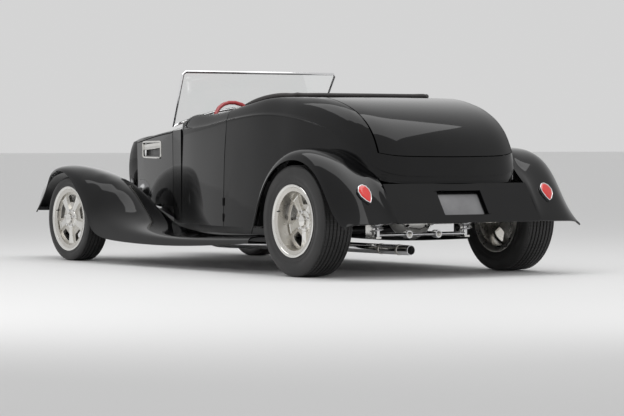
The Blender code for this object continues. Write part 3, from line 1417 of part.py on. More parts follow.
def make_exhaust(palette):
    """Left pipe out to an open tip, with the right bank's pipe crossing over into it."""
    last = len(exhaust_station_shares) - 1
    exhaust = tube(
        "exhaust", [exhaust_point(place, 1) for place in spread(0, last, 16)], EXHAUST_RADIUS, 12,
        palette["alloy"],
    )
    path = [exhaust_point(place, -1) for place in spread(0, EXHAUST_MERGE_STEPS, 7)]
    merge = exhaust_point(EXHAUST_MERGE_STEPS + EXHAUST_MERGE_REACH_STEPS, 1)
    path += [path[-1].lerp(merge, share) for share in (CROSSOVER_BEND_SHARE, 1.0)]
    crossover = tube("crossover", path, EXHAUST_RADIUS * CROSSOVER_SHARE, 12, palette["alloy"])
    combine(exhaust, [crossover], "UNION")
    tip = exhaust_point(last, 1)
    bore = rod(
        "tip_bore", tip - FORWARD * CUT_OVERRUN, tip + FORWARD * EXHAUST_RADIUS * 4,
        EXHAUST_RADIUS - EXHAUST_WALL, 12, palette["alloy"],
    )
    return combine(exhaust, [bore], "DIFFERENCE")


def make_front_axle(palette):
    """Dropped beam with kingpins and a transverse leaf spring up to the frame."""
    x, z = FRONT_AXLE_X, FRONT_TYRE_RADIUS
    drop_z = z - AXLE_DROP
    half = KINGPIN_HALF_SPAN
    path = []
    for y_share, z_share in axle_beam_shares:
        path.append(Vector((x, half * y_share, z - AXLE_DROP * z_share)))
    path += [Vector((p.x, -p.y, p.z)) for p in reversed(path[:-1])]
    beam = tube("front_axle", path, AXLE_BEAM_RADIUS, 10, palette["chrome"])
    tools = []
    seat_z = CROSSMEMBER_TOP - CROSSMEMBER_HEIGHT - SEAT_GAP
    leaf = []
    for share in spread(0, 1, 6):
        rise = (seat_z - LEAF_HALF_HEIGHT - drop_z) * (1 - (1 - share) ** 2)
        leaf.append(Vector((x, half * LEAF_SPAN_SHARE * (1 - share), drop_z + rise)))
    leaf += [Vector((p.x, -p.y, p.z)) for p in reversed(leaf[:-1])]
    bm = bmesh.new()
    rings = []
    for p in leaf:
        ring = []
        for a, b in ((-1, -1), (1, -1), (1, 1), (-1, 1)):
            ring.append(bm.verts.new(p + FORWARD * a * LEAF_HALF_WIDTH + UP * b * LEAF_HALF_HEIGHT))
        rings.append(ring)
    for ring, following in zip(rings, rings[1:]):
        for step in range(4):
            other = (step + 1) % 4
            bm.faces.new((ring[step], ring[other], following[other], following[step]))
    bm.faces.new(rings[0])
    bm.faces.new(rings[-1])
    tools.append(finish("leaf_spring", bm, palette["steel"]))
    for _, side in SIDES:
        y = side * half
        tools.append(rod(
            "boss", (x, y, z - BOSS_HEIGHT / 2), (x, y, z + BOSS_HEIGHT / 2), BOSS_RADIUS, 12,
            palette["chrome"],
        ))
        reach = BOSS_HEIGHT / 2 + LUG_HEIGHT + PIN_PLAY
        foot, head = (x, y, z - reach), (x, y, z + reach)
        tools.append(rod("kingpin", foot, head, KINGPIN_RADIUS, 12, palette["chrome"]))
    return combine(beam, tools, "UNION")


def make_knuckles(palette):
    """Steering knuckles: lugs on the kingpin, spindle outboard and steering arm behind."""
    x, z, y = FRONT_AXLE_X, FRONT_TYRE_RADIUS, KINGPIN_HALF_SPAN
    web_in = y + BOSS_RADIUS + WEB_PLAY
    web_out = FRONT_TRACK / 2 - FRONT_TYRE_WIDTH / 2 - WEB_PLAY
    lug_low = BOSS_HEIGHT / 2 + PIN_PLAY
    web_top = lug_low + LUG_HEIGHT
    steel = palette["steel"]
    knuckle = box(
        "knuckle_left", (x - WEB_HALF_LENGTH, web_in, z - web_top),
        (x + WEB_HALF_LENGTH, web_out, z + web_top), steel,
    )
    tools = []
    for sign in (-1, 1):
        inner_z, outer_z = z + sign * lug_low, z + sign * web_top
        tools.append(rod("lug", (x, y, inner_z), (x, y, outer_z), BOSS_RADIUS + WEB_PLAY / 2, 12, steel))
        low = (x - BOSS_RADIUS, y, min(inner_z, outer_z) + NECK_STEP)
        high = (x + BOSS_RADIUS, web_in + WEB_PLAY, max(inner_z, outer_z) - NECK_STEP)
        tools.append(box("lug_neck", low, high, steel))
    hub_y = wheel_mount_y("front")
    inboard, outboard = (x, (web_in + web_out) / 2, z), (x, hub_y + SPINDLE_REACH, z)
    tools.append(rod("spindle", inboard, outboard, SPINDLE_RADIUS, 16, steel))
    arm_z = z - web_top + ARM_RADIUS + NECK_STEP
    arm_end = Vector((x - STEERING_ARM, y, arm_z))
    tools.append(rod("arm", (x - BOSS_RADIUS, web_in + ARM_RADIUS, arm_z), arm_end, ARM_RADIUS, 10, steel))
    rise = UP * (ARM_RADIUS + NECK_STEP)
    tools.append(rod("arm_eye", arm_end - rise, arm_end + rise, ARM_EYE_RADIUS, 12, steel))
    combine(knuckle, tools, "UNION")
    overrun = UP * CUT_OVERRUN
    pin = Vector((x, y, z))
    reach = UP * web_top + overrun
    bore = rod("kingpin_bore", pin - reach, pin + reach, KINGPIN_RADIUS + PIN_PLAY, 12, steel)
    eye = rod("eye_bore", arm_end - overrun, arm_end + overrun, TIE_ROD_PIN_RADIUS + PIN_PLAY, 12, steel)
    combine(knuckle, [bore, eye], "DIFFERENCE")
    bm = bmesh.new()
    bm.from_mesh(knuckle.data)
    bmesh.ops.scale(bm, vec=(1, -1, 1), verts=bm.verts[:])
    right = finish("knuckle_right", bm, steel)
    set_origin(knuckle, pin)
    set_origin(right, Vector((x, -y, z)))


def make_tie_rod(palette):
    """Tie rod between the steering arms, with a pin up into each."""
    web_top = BOSS_HEIGHT / 2 + PIN_PLAY + LUG_HEIGHT
    arm_z = FRONT_TYRE_RADIUS - web_top + ARM_RADIUS + NECK_STEP
    x = FRONT_AXLE_X - STEERING_ARM
    y = KINGPIN_HALF_SPAN
    z = arm_z - TIE_ROD_DROP
    reach = TIE_ROD_RADIUS
    bar = rod("tie_rod", (x, -y - reach, z), (x, y + reach, z), TIE_ROD_RADIUS, 12, palette["chrome"])
    pins = []
    for _, side in SIDES:
        pins.append(rod(
            "pin", (x, side * y, z), (x, side * y, arm_z + ARM_RADIUS), TIE_ROD_PIN_RADIUS, 12,
            palette["chrome"],
        ))
    combine(bar, pins, "UNION")
    set_origin(bar, Vector((x, y, z)))


def make_rear_axle(palette):
    """Rear axle housing with spindles and coil-over brackets."""
    z = REAR_TYRE_RADIUS
    hub_y = wheel_mount_y("rear")
    inner_y = REAR_TRACK / 2 - REAR_TYRE_WIDTH / 2
    axle = rod(
        "rear_axle", (REAR_AXLE_X, -inner_y, z), (REAR_AXLE_X, inner_y, z), REAR_TUBE_RADIUS, 16,
        palette["alloy"],
    )
    profile = [(r * DIFFERENTIAL_RADIUS, y * DIFFERENTIAL_HALF_LENGTH) for r, y in differential_shares]
    housing = revolve("differential", profile, 18, palette["alloy"])
    housing.location = (REAR_AXLE_X, 0, z)
    apply_location(housing)
    tools = [housing]
    for _, side in SIDES:
        tools.append(rod(
            "spindle", (REAR_AXLE_X, side * (inner_y - CUT_OVERRUN), z),
            (REAR_AXLE_X, side * (hub_y + SPINDLE_REACH), z), SPINDLE_RADIUS, 16, palette["alloy"],
        ))
        y = side * COILOVER_Y
        spring_x = REAR_AXLE_X + COILOVER_X
        foot_z = COILOVER_BOTTOM - SEAT_GAP
        low = (spring_x + COILOVER_RADIUS + SEAT_GAP, y - BRACKET_HALF_WIDTH, foot_z - BRACKET_WALL)
        high = (REAR_AXLE_X - REAR_TUBE_RADIUS / 3, y + BRACKET_HALF_WIDTH, z - REAR_TUBE_RADIUS / 4)
        tools.append(box("bracket", low, high, palette["alloy"]))
        low = (spring_x - COILOVER_RADIUS / 2, y - COILOVER_RADIUS / 2, foot_z - BRACKET_WALL + NECK_STEP)
        high = (REAR_AXLE_X - COILOVER_RADIUS, y + COILOVER_RADIUS / 2, foot_z)
        tools.append(box("bracket_foot", low, high, palette["alloy"]))
    return combine(axle, tools, "UNION")


def make_rear_suspension(palette):
    """Coil-overs joined by the transverse link with its two ring eyes."""
    x = REAR_AXLE_X + COILOVER_X
    bottom, top = COILOVER_BOTTOM, COILOVER_TOP
    length = top - bottom
    profile = [(r * COILOVER_RADIUS, z * length) for r, z in coilover_foot_shares]
    pitch = length * COIL_SPAN_SHARE / COIL_COUNT
    for turn in range(COIL_COUNT):
        start = length * COIL_FIRST_SHARE + pitch * turn
        profile.append((COILOVER_RADIUS * COIL_CORE_SHARE, start))
        profile.append((COILOVER_RADIUS, start + pitch / 2))
    profile += [(r * COILOVER_RADIUS, z * length) for r, z in coilover_head_shares]
    link = rod(
        "rear_suspension", (x, -COILOVER_Y, bottom + LINK_RADIUS), (x, COILOVER_Y, bottom + LINK_RADIUS),
        LINK_RADIUS, 12, palette["chrome"],
    )
    tools = []
    for _, side in SIDES:
        spring = revolve("coilover", profile, 10, palette["chrome"], UP)
        spring.location = (x, side * COILOVER_Y, bottom)
        apply_location(spring)
        tools.append(spring)
    for share in LINK_EYE_Y_SHARES:
        y = share * COILOVER_Y
        tools.append(rod(
            "eye", (x - LINK_EYE_RADIUS, y, bottom + LINK_RADIUS),
            (x + LINK_EYE_RADIUS, y, bottom + LINK_RADIUS), LINK_EYE_RADIUS, 16, palette["chrome"],
        ))
    return combine(link, tools, "UNION")


# Wheels

WHEELS = {
    "front": (FRONT_TYRE_RADIUS, FRONT_TYRE_WIDTH, FRONT_TRACK, FRONT_DISH),
    "rear": (REAR_TYRE_RADIUS, REAR_TYRE_WIDTH, REAR_TRACK, REAR_DISH),
}


def wheel_x(axle):
    """Return an axle's place along the car."""
    return FRONT_AXLE_X if axle == "front" else REAR_AXLE_X


def disc_back(axle):
    """Return the mount face's distance outboard of the wheel's middle."""
    _, width, _, dish = WHEELS[axle]
    return width / 2 - RIM_INSET - dish - DISC_WALL


def wheel_mount_y(axle):
    """Return the distance of a wheel's mount face from the middle of the car."""
    return WHEELS[axle][2] / 2 + disc_back(axle)


def make_rim(axle, label, side, palette):
    """Five-window wheel turned from one profile, with a blind bore for the spindle."""
    radius, width, track, dish = WHEELS[axle]
    lip = width / 2 - RIM_INSET
    face = lip - dish
    back = face - DISC_WALL
    barrel = RIM_WELL_RADIUS - RIM_WALL
    profile = [
        (0, face + HUB_CAP_HEIGHT), (HUB_CAP_RADIUS - HUB_CAP_EDGE, face + HUB_CAP_HEIGHT),
        (HUB_CAP_RADIUS, face + HUB_CAP_HEIGHT - HUB_CAP_EDGE),
        (HUB_RADIUS, face), (barrel, face), (barrel, lip - RIM_FLANGE), (RIM_LIP_RADIUS - RIM_WALL, lip),
        (RIM_LIP_RADIUS, lip), (RIM_BEAD_RADIUS, lip - RIM_FLANGE),
        (RIM_BEAD_RADIUS, -lip + RIM_FLANGE),
        (RIM_LIP_RADIUS, -lip), (RIM_LIP_RADIUS - RIM_WALL, -lip), (barrel, -lip + RIM_FLANGE),
        (barrel, back),
        (SPINDLE_RADIUS + PIN_PLAY, back), (SPINDLE_RADIUS + PIN_PLAY, back + SPINDLE_REACH + SEAT_GAP),
        (0, back + SPINDLE_REACH + SEAT_GAP),
    ]
    item = revolve("rim_%s_%s" % (axle, label), profile, WHEEL_STEPS, palette["alloy"])
    combine(item, [window_cutter(face, back, barrel, palette)], "DIFFERENCE")
    if side < 0:
        item.data.transform(Matrix.Rotation(math.pi, 4, "Z"))
    item.location = (wheel_x(axle), side * track / 2, radius)
    return item


def window_cutter(face, back, barrel, palette):
    """Return the five window blocks as one cutter."""
    bm = bmesh.new()
    inner_r, outer_r = HUB_RADIUS + WINDOW_MARGIN, barrel - WINDOW_MARGIN
    for index in range(SPOKE_COUNT):
        middle = math.tau * index / SPOKE_COUNT + math.pi / 2
        half = math.pi / SPOKE_COUNT * WINDOW_WIDTH_SHARE
        outline = []
        for out, aside in window_shares:
            r, angle = inner_r + (outer_r - inner_r) * out, middle + half * aside
            outline.append(bm.verts.new((r * math.cos(angle), back - CUT_OVERRUN, r * math.sin(angle))))
        made = bmesh.ops.extrude_face_region(bm, geom=[bm.faces.new(outline)])
        verts = [item for item in made["geom"] if isinstance(item, bmesh.types.BMVert)]
        bmesh.ops.translate(bm, verts=verts, vec=LEFT * (face - back + 2 * CUT_OVERRUN))
    return finish("window_cutter", bm, palette["alloy"])


def make_tyre(axle, label, side, palette):
    """Tyre with flat tread and rounded shoulders, seated on the rim's bead."""
    radius, width, track, _ = WHEELS[axle]
    lip = width / 2 - RIM_INSET
    bead = RIM_BEAD_RADIUS + SEAT_GAP
    foot = lip - RIM_FLANGE - SEAT_GAP
    height = radius - bead
    half = width / 2
    flange_top = RIM_LIP_RADIUS - bead + SEAT_GAP * 4
    outer = [(bead, foot), (bead + flange_top, foot)]
    outer += [(bead + height * up, half * across) for up, across in tyre_shoulder_shares]
    profile = outer + [(r, -a) for r, a in reversed(outer)]
    item = revolve("tyre_%s_%s" % (axle, label), profile, WHEEL_STEPS, palette["tyre"])
    item.location = (wheel_x(axle), side * track / 2, radius)


def steering_axis():
    """Return the direction from the steering column up to the driver."""
    return Vector((-math.cos(STEERING_RAKE), 0, math.sin(STEERING_RAKE)))


def steering_centre():
    """Return the middle of the steering wheel."""
    return Vector((along(STEERING_WHEEL_SHARE), STEERING_WHEEL_Y, STEERING_WHEEL_Z))


def make_steering(palette):
    """Steering wheel on its column, which runs through the dash down to the firewall."""
    axis, centre = steering_axis(), steering_centre()
    up = LEFT.cross(axis).normalized()
    if up.z < 0:
        up = -up
    path = []
    for step in range(STEERING_WHEEL_STEPS):
        angle = math.tau * step / STEERING_WHEEL_STEPS
        path.append(centre + (LEFT * math.cos(angle) + up * math.sin(angle)) * STEERING_WHEEL_RADIUS)
    wheel = tube("steering_wheel", path, STEERING_RIM_RADIUS, 8, palette["red"], True)
    hub_depth = STEERING_HUB_DEPTH
    tools = [rod("hub", centre - axis * hub_depth, centre, STEERING_HUB_RADIUS, 16, palette["red"])]
    for angle in (0, math.pi, -math.pi / 2):
        out = (LEFT * math.cos(angle) + up * math.sin(angle)) * STEERING_WHEEL_RADIUS
        tools.append(rod(
            "spoke", centre - axis * hub_depth / 2, centre + out, STEERING_SPOKE_RADIUS, 8, palette["red"],
        ))
    combine(wheel, tools, "UNION")
    set_origin(wheel, centre)
    start = centre - axis * (hub_depth + SEAT_GAP)
    wall_x = along(cowl_station_shares[0][0]) - FLOOR_WALL - SEAT_GAP
    reach = (wall_x - COLUMN_RADIUS * math.sin(STEERING_RAKE) - start.x) / math.cos(STEERING_RAKE)
    rod("steering_column", start, start - axis * reach, COLUMN_RADIUS, 16, palette["steel"])


def main():
    """Build the roadster."""
    clear_scene()
    palette = make_palette()
    make_frame(palette)
    make_floor(palette)
    make_trunk_floor(palette)
    make_tub(palette)
    make_lid(palette)
    make_doors(palette)
    make_cowl(palette)
    make_hood(palette)
    make_shell(palette)
    make_grille(palette)
    make_front_fenders(palette)
    make_rear_fenders(palette)
    make_pan(palette)
    make_headlamps(palette)
    make_tail_lamps(palette)
    make_windshield(palette)
    make_coaming(palette)
    make_dashboard(palette)
    make_seat(palette)
    make_steering(palette)
    make_engine(palette)
    make_exhaust(palette)
    make_front_axle(palette)
    make_knuckles(palette)
    make_tie_rod(palette)
    make_rear_axle(palette)
    make_rear_suspension(palette)
    for label, side in SIDES:
        for axle in WHEELS:
            make_rim(axle, label, side, palette)
            make_tyre(axle, label, side, palette)


main()
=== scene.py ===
"""Looks of the open street rod roadster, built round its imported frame.

Every length is in metres in the frame of the solids: X forward, Y to the car's left, Z up.
"""
import json
import logging
import math
from collections.abc import Sequence
from dataclasses import dataclass, field
from enum import Enum

import bmesh
import bpy
from bmesh.types import BMEdge, BMesh, BMFace, BMVert
from bpy.types import ID, Material, Mesh, Node, NodeSocket, NodeTree, Object
from mathutils import Matrix, Vector
from mathutils.bvhtree import BVHTree

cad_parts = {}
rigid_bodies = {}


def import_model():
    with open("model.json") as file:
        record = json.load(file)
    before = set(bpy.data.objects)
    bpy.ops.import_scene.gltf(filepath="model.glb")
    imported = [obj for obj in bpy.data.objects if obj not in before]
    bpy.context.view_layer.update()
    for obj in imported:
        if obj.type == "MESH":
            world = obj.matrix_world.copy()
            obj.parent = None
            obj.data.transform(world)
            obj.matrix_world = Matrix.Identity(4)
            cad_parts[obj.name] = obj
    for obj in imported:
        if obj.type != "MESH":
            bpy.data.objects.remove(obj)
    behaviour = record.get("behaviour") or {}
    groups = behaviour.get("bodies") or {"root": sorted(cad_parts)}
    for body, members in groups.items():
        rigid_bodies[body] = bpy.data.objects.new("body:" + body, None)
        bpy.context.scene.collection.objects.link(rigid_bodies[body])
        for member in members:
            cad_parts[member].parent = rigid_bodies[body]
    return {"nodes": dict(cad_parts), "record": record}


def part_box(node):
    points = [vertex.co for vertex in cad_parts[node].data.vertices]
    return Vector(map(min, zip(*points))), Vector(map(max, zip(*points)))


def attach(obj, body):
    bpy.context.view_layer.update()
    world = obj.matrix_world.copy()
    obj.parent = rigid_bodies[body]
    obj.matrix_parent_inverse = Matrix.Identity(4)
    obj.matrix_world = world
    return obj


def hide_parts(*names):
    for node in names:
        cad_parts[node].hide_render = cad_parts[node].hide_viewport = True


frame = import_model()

Pair = tuple[float, float]
Triple = tuple[float, float, float]

LOG = logging.getLogger("roadster")
UP, LEFT, FORWARD = Vector((0, 0, 1)), Vector((0, 1, 0)), Vector((1, 0, 0))
FRONT_X, REAR_X = 1.40744, -1.43756
WELD = 0.00002
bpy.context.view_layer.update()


class Side(Enum):
    """The two sides of the car, with the sign of their Y."""

    LEFT = 1
    RIGHT = -1

    @property
    def label(self) -> str:
        """The side's part of a name."""
        return self.name.lower()


class Grain(Enum):
    """The small-scale surface that a finish carries."""

    SMOOTH = "smooth"
    CAST = "cast"
    BRUSHED = "brushed"
    LEATHER = "leather"
    RUBBER = "rubber"
    PILE = "pile"
    PRISMS = "prisms"


# Shader node groups

def add_node(tree: NodeTree, kind: str, **values: float | tuple) -> Node:
    """Return a new shader node with some of its inputs set.

    Args:
        tree: The tree to add to.
        kind: The node's type after "ShaderNode".
        values: The inputs' values by name, with underscores for spaces.

    Returns:
        The node.
    """
    node = tree.nodes.new(f"ShaderNode{kind}")
    for label, value in values.items():
        node.inputs[label.replace("_", " ")].default_value = value
    return node


class Effects:
    """Shared shader effects, each built once as a node group."""

    def __init__(self) -> None:
        """Build the groups."""
        self.variation = self._variation()
        self.grains = {
            Grain.SMOOTH: self._grain("orange_peel", 260.0, 3.0, 0.0),
            Grain.CAST: self._grain("cast_grain", 900.0, 3.0, 0.5),
            Grain.BRUSHED: self._grain("turned_lines", 1.0, stretch=(30.0, 900.0, 30.0)),
            Grain.LEATHER: self._grain("leather_grain", 434.0, cells=620.0, ruffle=0.35),
            Grain.RUBBER: self._grain("rubber_grain", 1500.0, 3.0, 0.6),
            Grain.PILE: self._grain("carpet_pile", 336.0, cells=480.0, ruffle=0.8),
            Grain.PRISMS: self._grain("lens_prisms", 105.0, cells=150.0),
        }

    @staticmethod
    def place(tree: NodeTree, group: NodeTree, vector: NodeSocket,
              **values: float) -> NodeSocket:
        """Add one of the groups to a material.

        Args:
            tree: The material's tree.
            group: The group to add.
            vector: What gives it its places.
            values: Its other inputs.

        Returns:
            The group's output.
        """
        node = add_node(tree, "Group")
        node.node_tree = group
        for label, value in values.items():
            node.inputs[label].default_value = value
        tree.links.new(vector, node.inputs["Vector"])
        return node.outputs[0]

    @staticmethod
    def _group(name: str, inputs: Sequence[tuple[str, str, float]], output: str) -> NodeTree:
        """Return an empty shader group with its sockets.

        Args:
            name: The group's name.
            inputs: Name, socket type and default of each input.
            output: Name of the one value output.

        Returns:
            The group's tree with its input and output nodes.
        """
        tree = bpy.data.node_groups.new(name, "ShaderNodeTree")
        for label, kind, default in inputs:
            socket = tree.interface.new_socket(label, in_out="INPUT", socket_type=kind)
            if kind == "NodeSocketFloat":
                socket.default_value = default
        tree.interface.new_socket(output, in_out="OUTPUT", socket_type="NodeSocketFloat")
        tree.nodes.new("NodeGroupInput")
        tree.nodes.new("NodeGroupOutput")
        return tree

    def _variation(self) -> NodeTree:
        """Return a group that spreads a value between two limits in soft clouds and fine specks.

        Returns:
            The group's tree.
        """
        tree = self._group("surface_variation", (
            ("Vector", "NodeSocketVector", 0.0), ("Scale", "NodeSocketFloat", 6.0),
            ("Low", "NodeSocketFloat", 0.0), ("High", "NodeSocketFloat", 1.0),
        ), "Value")
        given, out = tree.nodes["Group Input"], tree.nodes["Group Output"]
        noise = add_node(tree, "TexNoise", Detail=6.0, Roughness=0.62)
        spread = add_node(tree, "MapRange", From_Min=0.32, From_Max=0.68)
        for start, end in (
            (given.outputs["Vector"], noise.inputs["Vector"]), (given.outputs["Scale"], noise.inputs["Scale"]),
            (noise.outputs["Fac"], spread.inputs["Value"]), (given.outputs["Low"], spread.inputs["To Min"]),
            (given.outputs["High"], spread.inputs["To Max"]), (spread.outputs["Result"], out.inputs["Value"]),
        ):
            tree.links.new(start, end)
        return tree

    def _grain(self, name: str, scale: float, detail: float = 2.0, roughness: float = 0.5,
               stretch: Sequence[float] = (), cells: float = 0.0, ruffle: float = 0.0) -> NodeTree:
        """Return a group whose height is noise, which can be stretched or ruffle rounded cells.

        Args:
            name: The group's name.
            scale: Noise scale for a metre.
            detail: The noise's octaves.
            roughness: Weight of its finer octaves.
            stretch: Scale along each axis before the noise's own.
            cells: Cells along a metre, if any.
            ruffle: Share of noise among the cells.

        Returns:
            The group's tree.
        """
        tree = self._group(name, (("Vector", "NodeSocketVector", 0.0),), "Height")
        vector = tree.nodes["Group Input"].outputs["Vector"]
        if stretch:
            mapping = add_node(tree, "Mapping", Scale=stretch)
            tree.links.new(vector, mapping.inputs["Vector"])
            vector = mapping.outputs["Vector"]
        noise = add_node(tree, "TexNoise", Scale=scale, Detail=detail, Roughness=roughness)
        tree.links.new(vector, noise.inputs["Vector"])
        height = noise.outputs["Fac"]
        if cells:
            grid = add_node(tree, "TexVoronoi", Scale=cells)
            blend = add_node(tree, "Mix", Factor=ruffle * 0.5)
            for start, end in ((vector, grid.inputs["Vector"]), (grid.outputs["Distance"], blend.inputs["A"]),
                               (height, blend.inputs["B"])):
                tree.links.new(start, end)
            height = blend.outputs["Result"]
        tree.links.new(height, tree.nodes["Group Output"].inputs["Height"])
        return tree


@dataclass(frozen=True)
class Finish:
    """One surface finish, as a Principled material with its own grain."""

    name: str
    slot: str
    low: Triple
    high: Triple
    rough: Pair
    metallic: float = 0.0
    coat: float = 0.0
    coat_roughness: float = 0.03
    coat_ior: float = 1.5
    transmission: float = 0.0
    ior: float = 1.5
    specular: float = 0.5
    grain: Grain = Grain.SMOOTH
    bump: float = 0.1
    depth: float = 0.0002
    clouds: float = 5.0

    def build(self, effects: Effects) -> Material:
        """Return the finish's material.

        Args:
            effects: The shared node groups.

        Returns:
            The new material.
        """
        material = bpy.data.materials.new(self.name)
        material.use_nodes = True
        tree = material.node_tree
        links, shader = tree.links, tree.nodes["Principled BSDF"]
        for label, value in (
            ("Metallic", self.metallic), ("Coat Weight", self.coat), ("Coat Roughness", self.coat_roughness),
            ("Coat IOR", self.coat_ior), ("Transmission Weight", self.transmission), ("IOR", self.ior),
            ("Specular IOR Level", self.specular),
        ):
            shader.inputs[label].default_value = value
        place = add_node(tree, "TexCoord").outputs["Object"]
        colour = effects.place(tree, effects.variation, place, Scale=self.clouds, Low=0.0, High=1.0)
        mix = add_node(tree, "Mix")
        mix.data_type = "RGBA"
        for index, shade in ((6, self.low), (7, self.high)):
            mix.inputs[index].default_value = (*shade, 1.0)
        links.new(colour, mix.inputs[0])
        links.new(mix.outputs[2], shader.inputs["Base Color"])
        low, high = self.rough
        rough = effects.place(tree, effects.variation, place, Scale=self.clouds * 4.0, Low=low, High=high)
        links.new(rough, shader.inputs["Roughness"])
        if self.bump:
            height = effects.place(tree, effects.grains[self.grain], place)
            bump = add_node(tree, "Bump", Strength=self.bump, Distance=self.depth)
            links.new(height, bump.inputs["Height"])
            links.new(bump.outputs["Normal"], shader.inputs["Normal"])
        return material


FINISHES = (
    Finish("gloss_black", "black_paint", (0.0018, 0.0018, 0.002), (0.003, 0.003, 0.0033), (0.10, 0.16),
           coat=1.0, coat_roughness=0.035, coat_ior=1.36, specular=0.02, bump=0.0),
    Finish("satin_alloy", "satin_alloy", (0.62, 0.60, 0.56), (0.72, 0.70, 0.66), (0.24, 0.34), metallic=1.0,
           grain=Grain.CAST, bump=0.12),
    Finish("polished_alloy", "satin_alloy", (0.80, 0.79, 0.76), (0.88, 0.87, 0.84), (0.08, 0.16), metallic=1.0,
           grain=Grain.BRUSHED, bump=0.05),
    Finish("bright_chrome", "chrome", (0.82, 0.82, 0.83), (0.90, 0.90, 0.91), (0.03, 0.08), metallic=1.0, bump=0.0),
    Finish("chassis_black", "dark_steel", (0.012, 0.012, 0.013), (0.028, 0.028, 0.029), (0.32, 0.46),
           coat=0.3, coat_roughness=0.2, grain=Grain.CAST, bump=0.15),
    Finish("tread_rubber", "tyre_rubber", (0.012, 0.012, 0.012), (0.024, 0.023, 0.022), (0.62, 0.80),
           specular=0.35, grain=Grain.RUBBER, bump=0.25),
    Finish("sidewall_rubber", "tyre_rubber", (0.016, 0.016, 0.016), (0.026, 0.025, 0.025), (0.42, 0.56),
           specular=0.45, grain=Grain.RUBBER, bump=0.12),
    Finish("clear_pane", "clear_glass", (0.97, 0.99, 0.985), (1.0, 1.0, 1.0), (0.0, 0.01), transmission=1.0,
           ior=1.45, bump=0.0),
    Finish("red_lens", "red_lens", (0.42, 0.010, 0.008), (0.60, 0.02, 0.015), (0.08, 0.16), coat=1.0,
           grain=Grain.PRISMS, bump=0.35, depth=0.0006),
    Finish("seat_leather", "dark_leather", (0.070, 0.010, 0.011), (0.115, 0.018, 0.018), (0.38, 0.54),
           grain=Grain.LEATHER, bump=0.3, depth=0.0003),
    Finish("trim_leather", "dark_trim", (0.018, 0.016, 0.016), (0.034, 0.030, 0.029), (0.44, 0.60),
           grain=Grain.LEATHER, bump=0.3, depth=0.0003),
    Finish("wheel_grip", "red_rim", (0.26, 0.012, 0.016), (0.40, 0.022, 0.026), (0.25, 0.38), coat=0.5,
           grain=Grain.LEATHER, bump=0.1),
    Finish("dark_carpet", "dark_trim", (0.012, 0.010, 0.010), (0.034, 0.028, 0.028), (0.85, 0.95), specular=0.2,
           grain=Grain.PILE, bump=0.8, depth=0.0012),
    Finish("cast_iron", "engine_iron", (0.10, 0.10, 0.105), (0.20, 0.20, 0.205), (0.40, 0.58), metallic=0.7,
           grain=Grain.CAST, bump=0.4),
    Finish("plate_grey", "dark_steel", (0.17, 0.17, 0.175), (0.23, 0.23, 0.235), (0.34, 0.44), metallic=0.3,
           grain=Grain.CAST, bump=0.05),
    Finish("dial_black", "dark_trim", (0.010, 0.010, 0.011), (0.016, 0.016, 0.017), (0.30, 0.40), bump=0.05),
    Finish("dial_white", "dark_trim", (0.70, 0.69, 0.66), (0.78, 0.77, 0.74), (0.40, 0.50), bump=0.05),
)


class Palette:
    """The materials by the names of their finishes."""

    def __init__(self) -> None:
        """Build every finish once."""
        effects = Effects()
        self.slots = {finish.name: finish.slot for finish in FINISHES}
        self.materials = {finish.name: finish.build(effects) for finish in FINISHES}

    def dress(self, item: Object, finish: str) -> None:
        """Give an object one finish in place of its own."""
        item.data.materials.clear()
        item.data.materials.append(self.materials[finish])


# Mesh helpers

def new_ring(bm: BMesh, place: Matrix, radius: float, sides: int) -> list[BMEdge]:
    """Return the edges of a new circle in a bmesh, at the place that a matrix gives its plane."""
    made = bmesh.ops.create_circle(bm, cap_ends=False, radius=radius, segments=sides, matrix=place)
    return list({edge for vert in made["verts"] for edge in vert.link_edges})


def of_kind(geometry: Sequence, kind: type) -> list:
    """Return the vertices, the edges or the faces among what an operator made."""
    return [item for item in geometry if isinstance(item, kind)]


def mesh_of(name: str, bm: BMesh) -> Mesh:
    """Return a new mesh made from a bmesh, which is freed.

    Args:
        name: The mesh's name.
        bm: What it is made from.

    Returns:
        The new mesh.
    """
    mesh = bpy.data.meshes.new(name)
    bm.to_mesh(mesh)
    bm.free()
    return mesh


def show(name: str, data: ID) -> Object:
    """Return a new object, linked to the scene.

    Args:
        name: The object's name.
        data: Its mesh, lamp or camera.

    Returns:
        The new object.
    """
    item = bpy.data.objects.new(name, data)
    bpy.context.scene.collection.objects.link(item)
    return item


def facing(point: Vector, direction: Vector) -> Matrix:
    """Return the matrix that puts a local Z axis along a direction at a point."""
    turn = direction.normalized().to_track_quat("Z", "Y")
    return Matrix.Translation(point) @ turn.to_matrix().to_4x4()


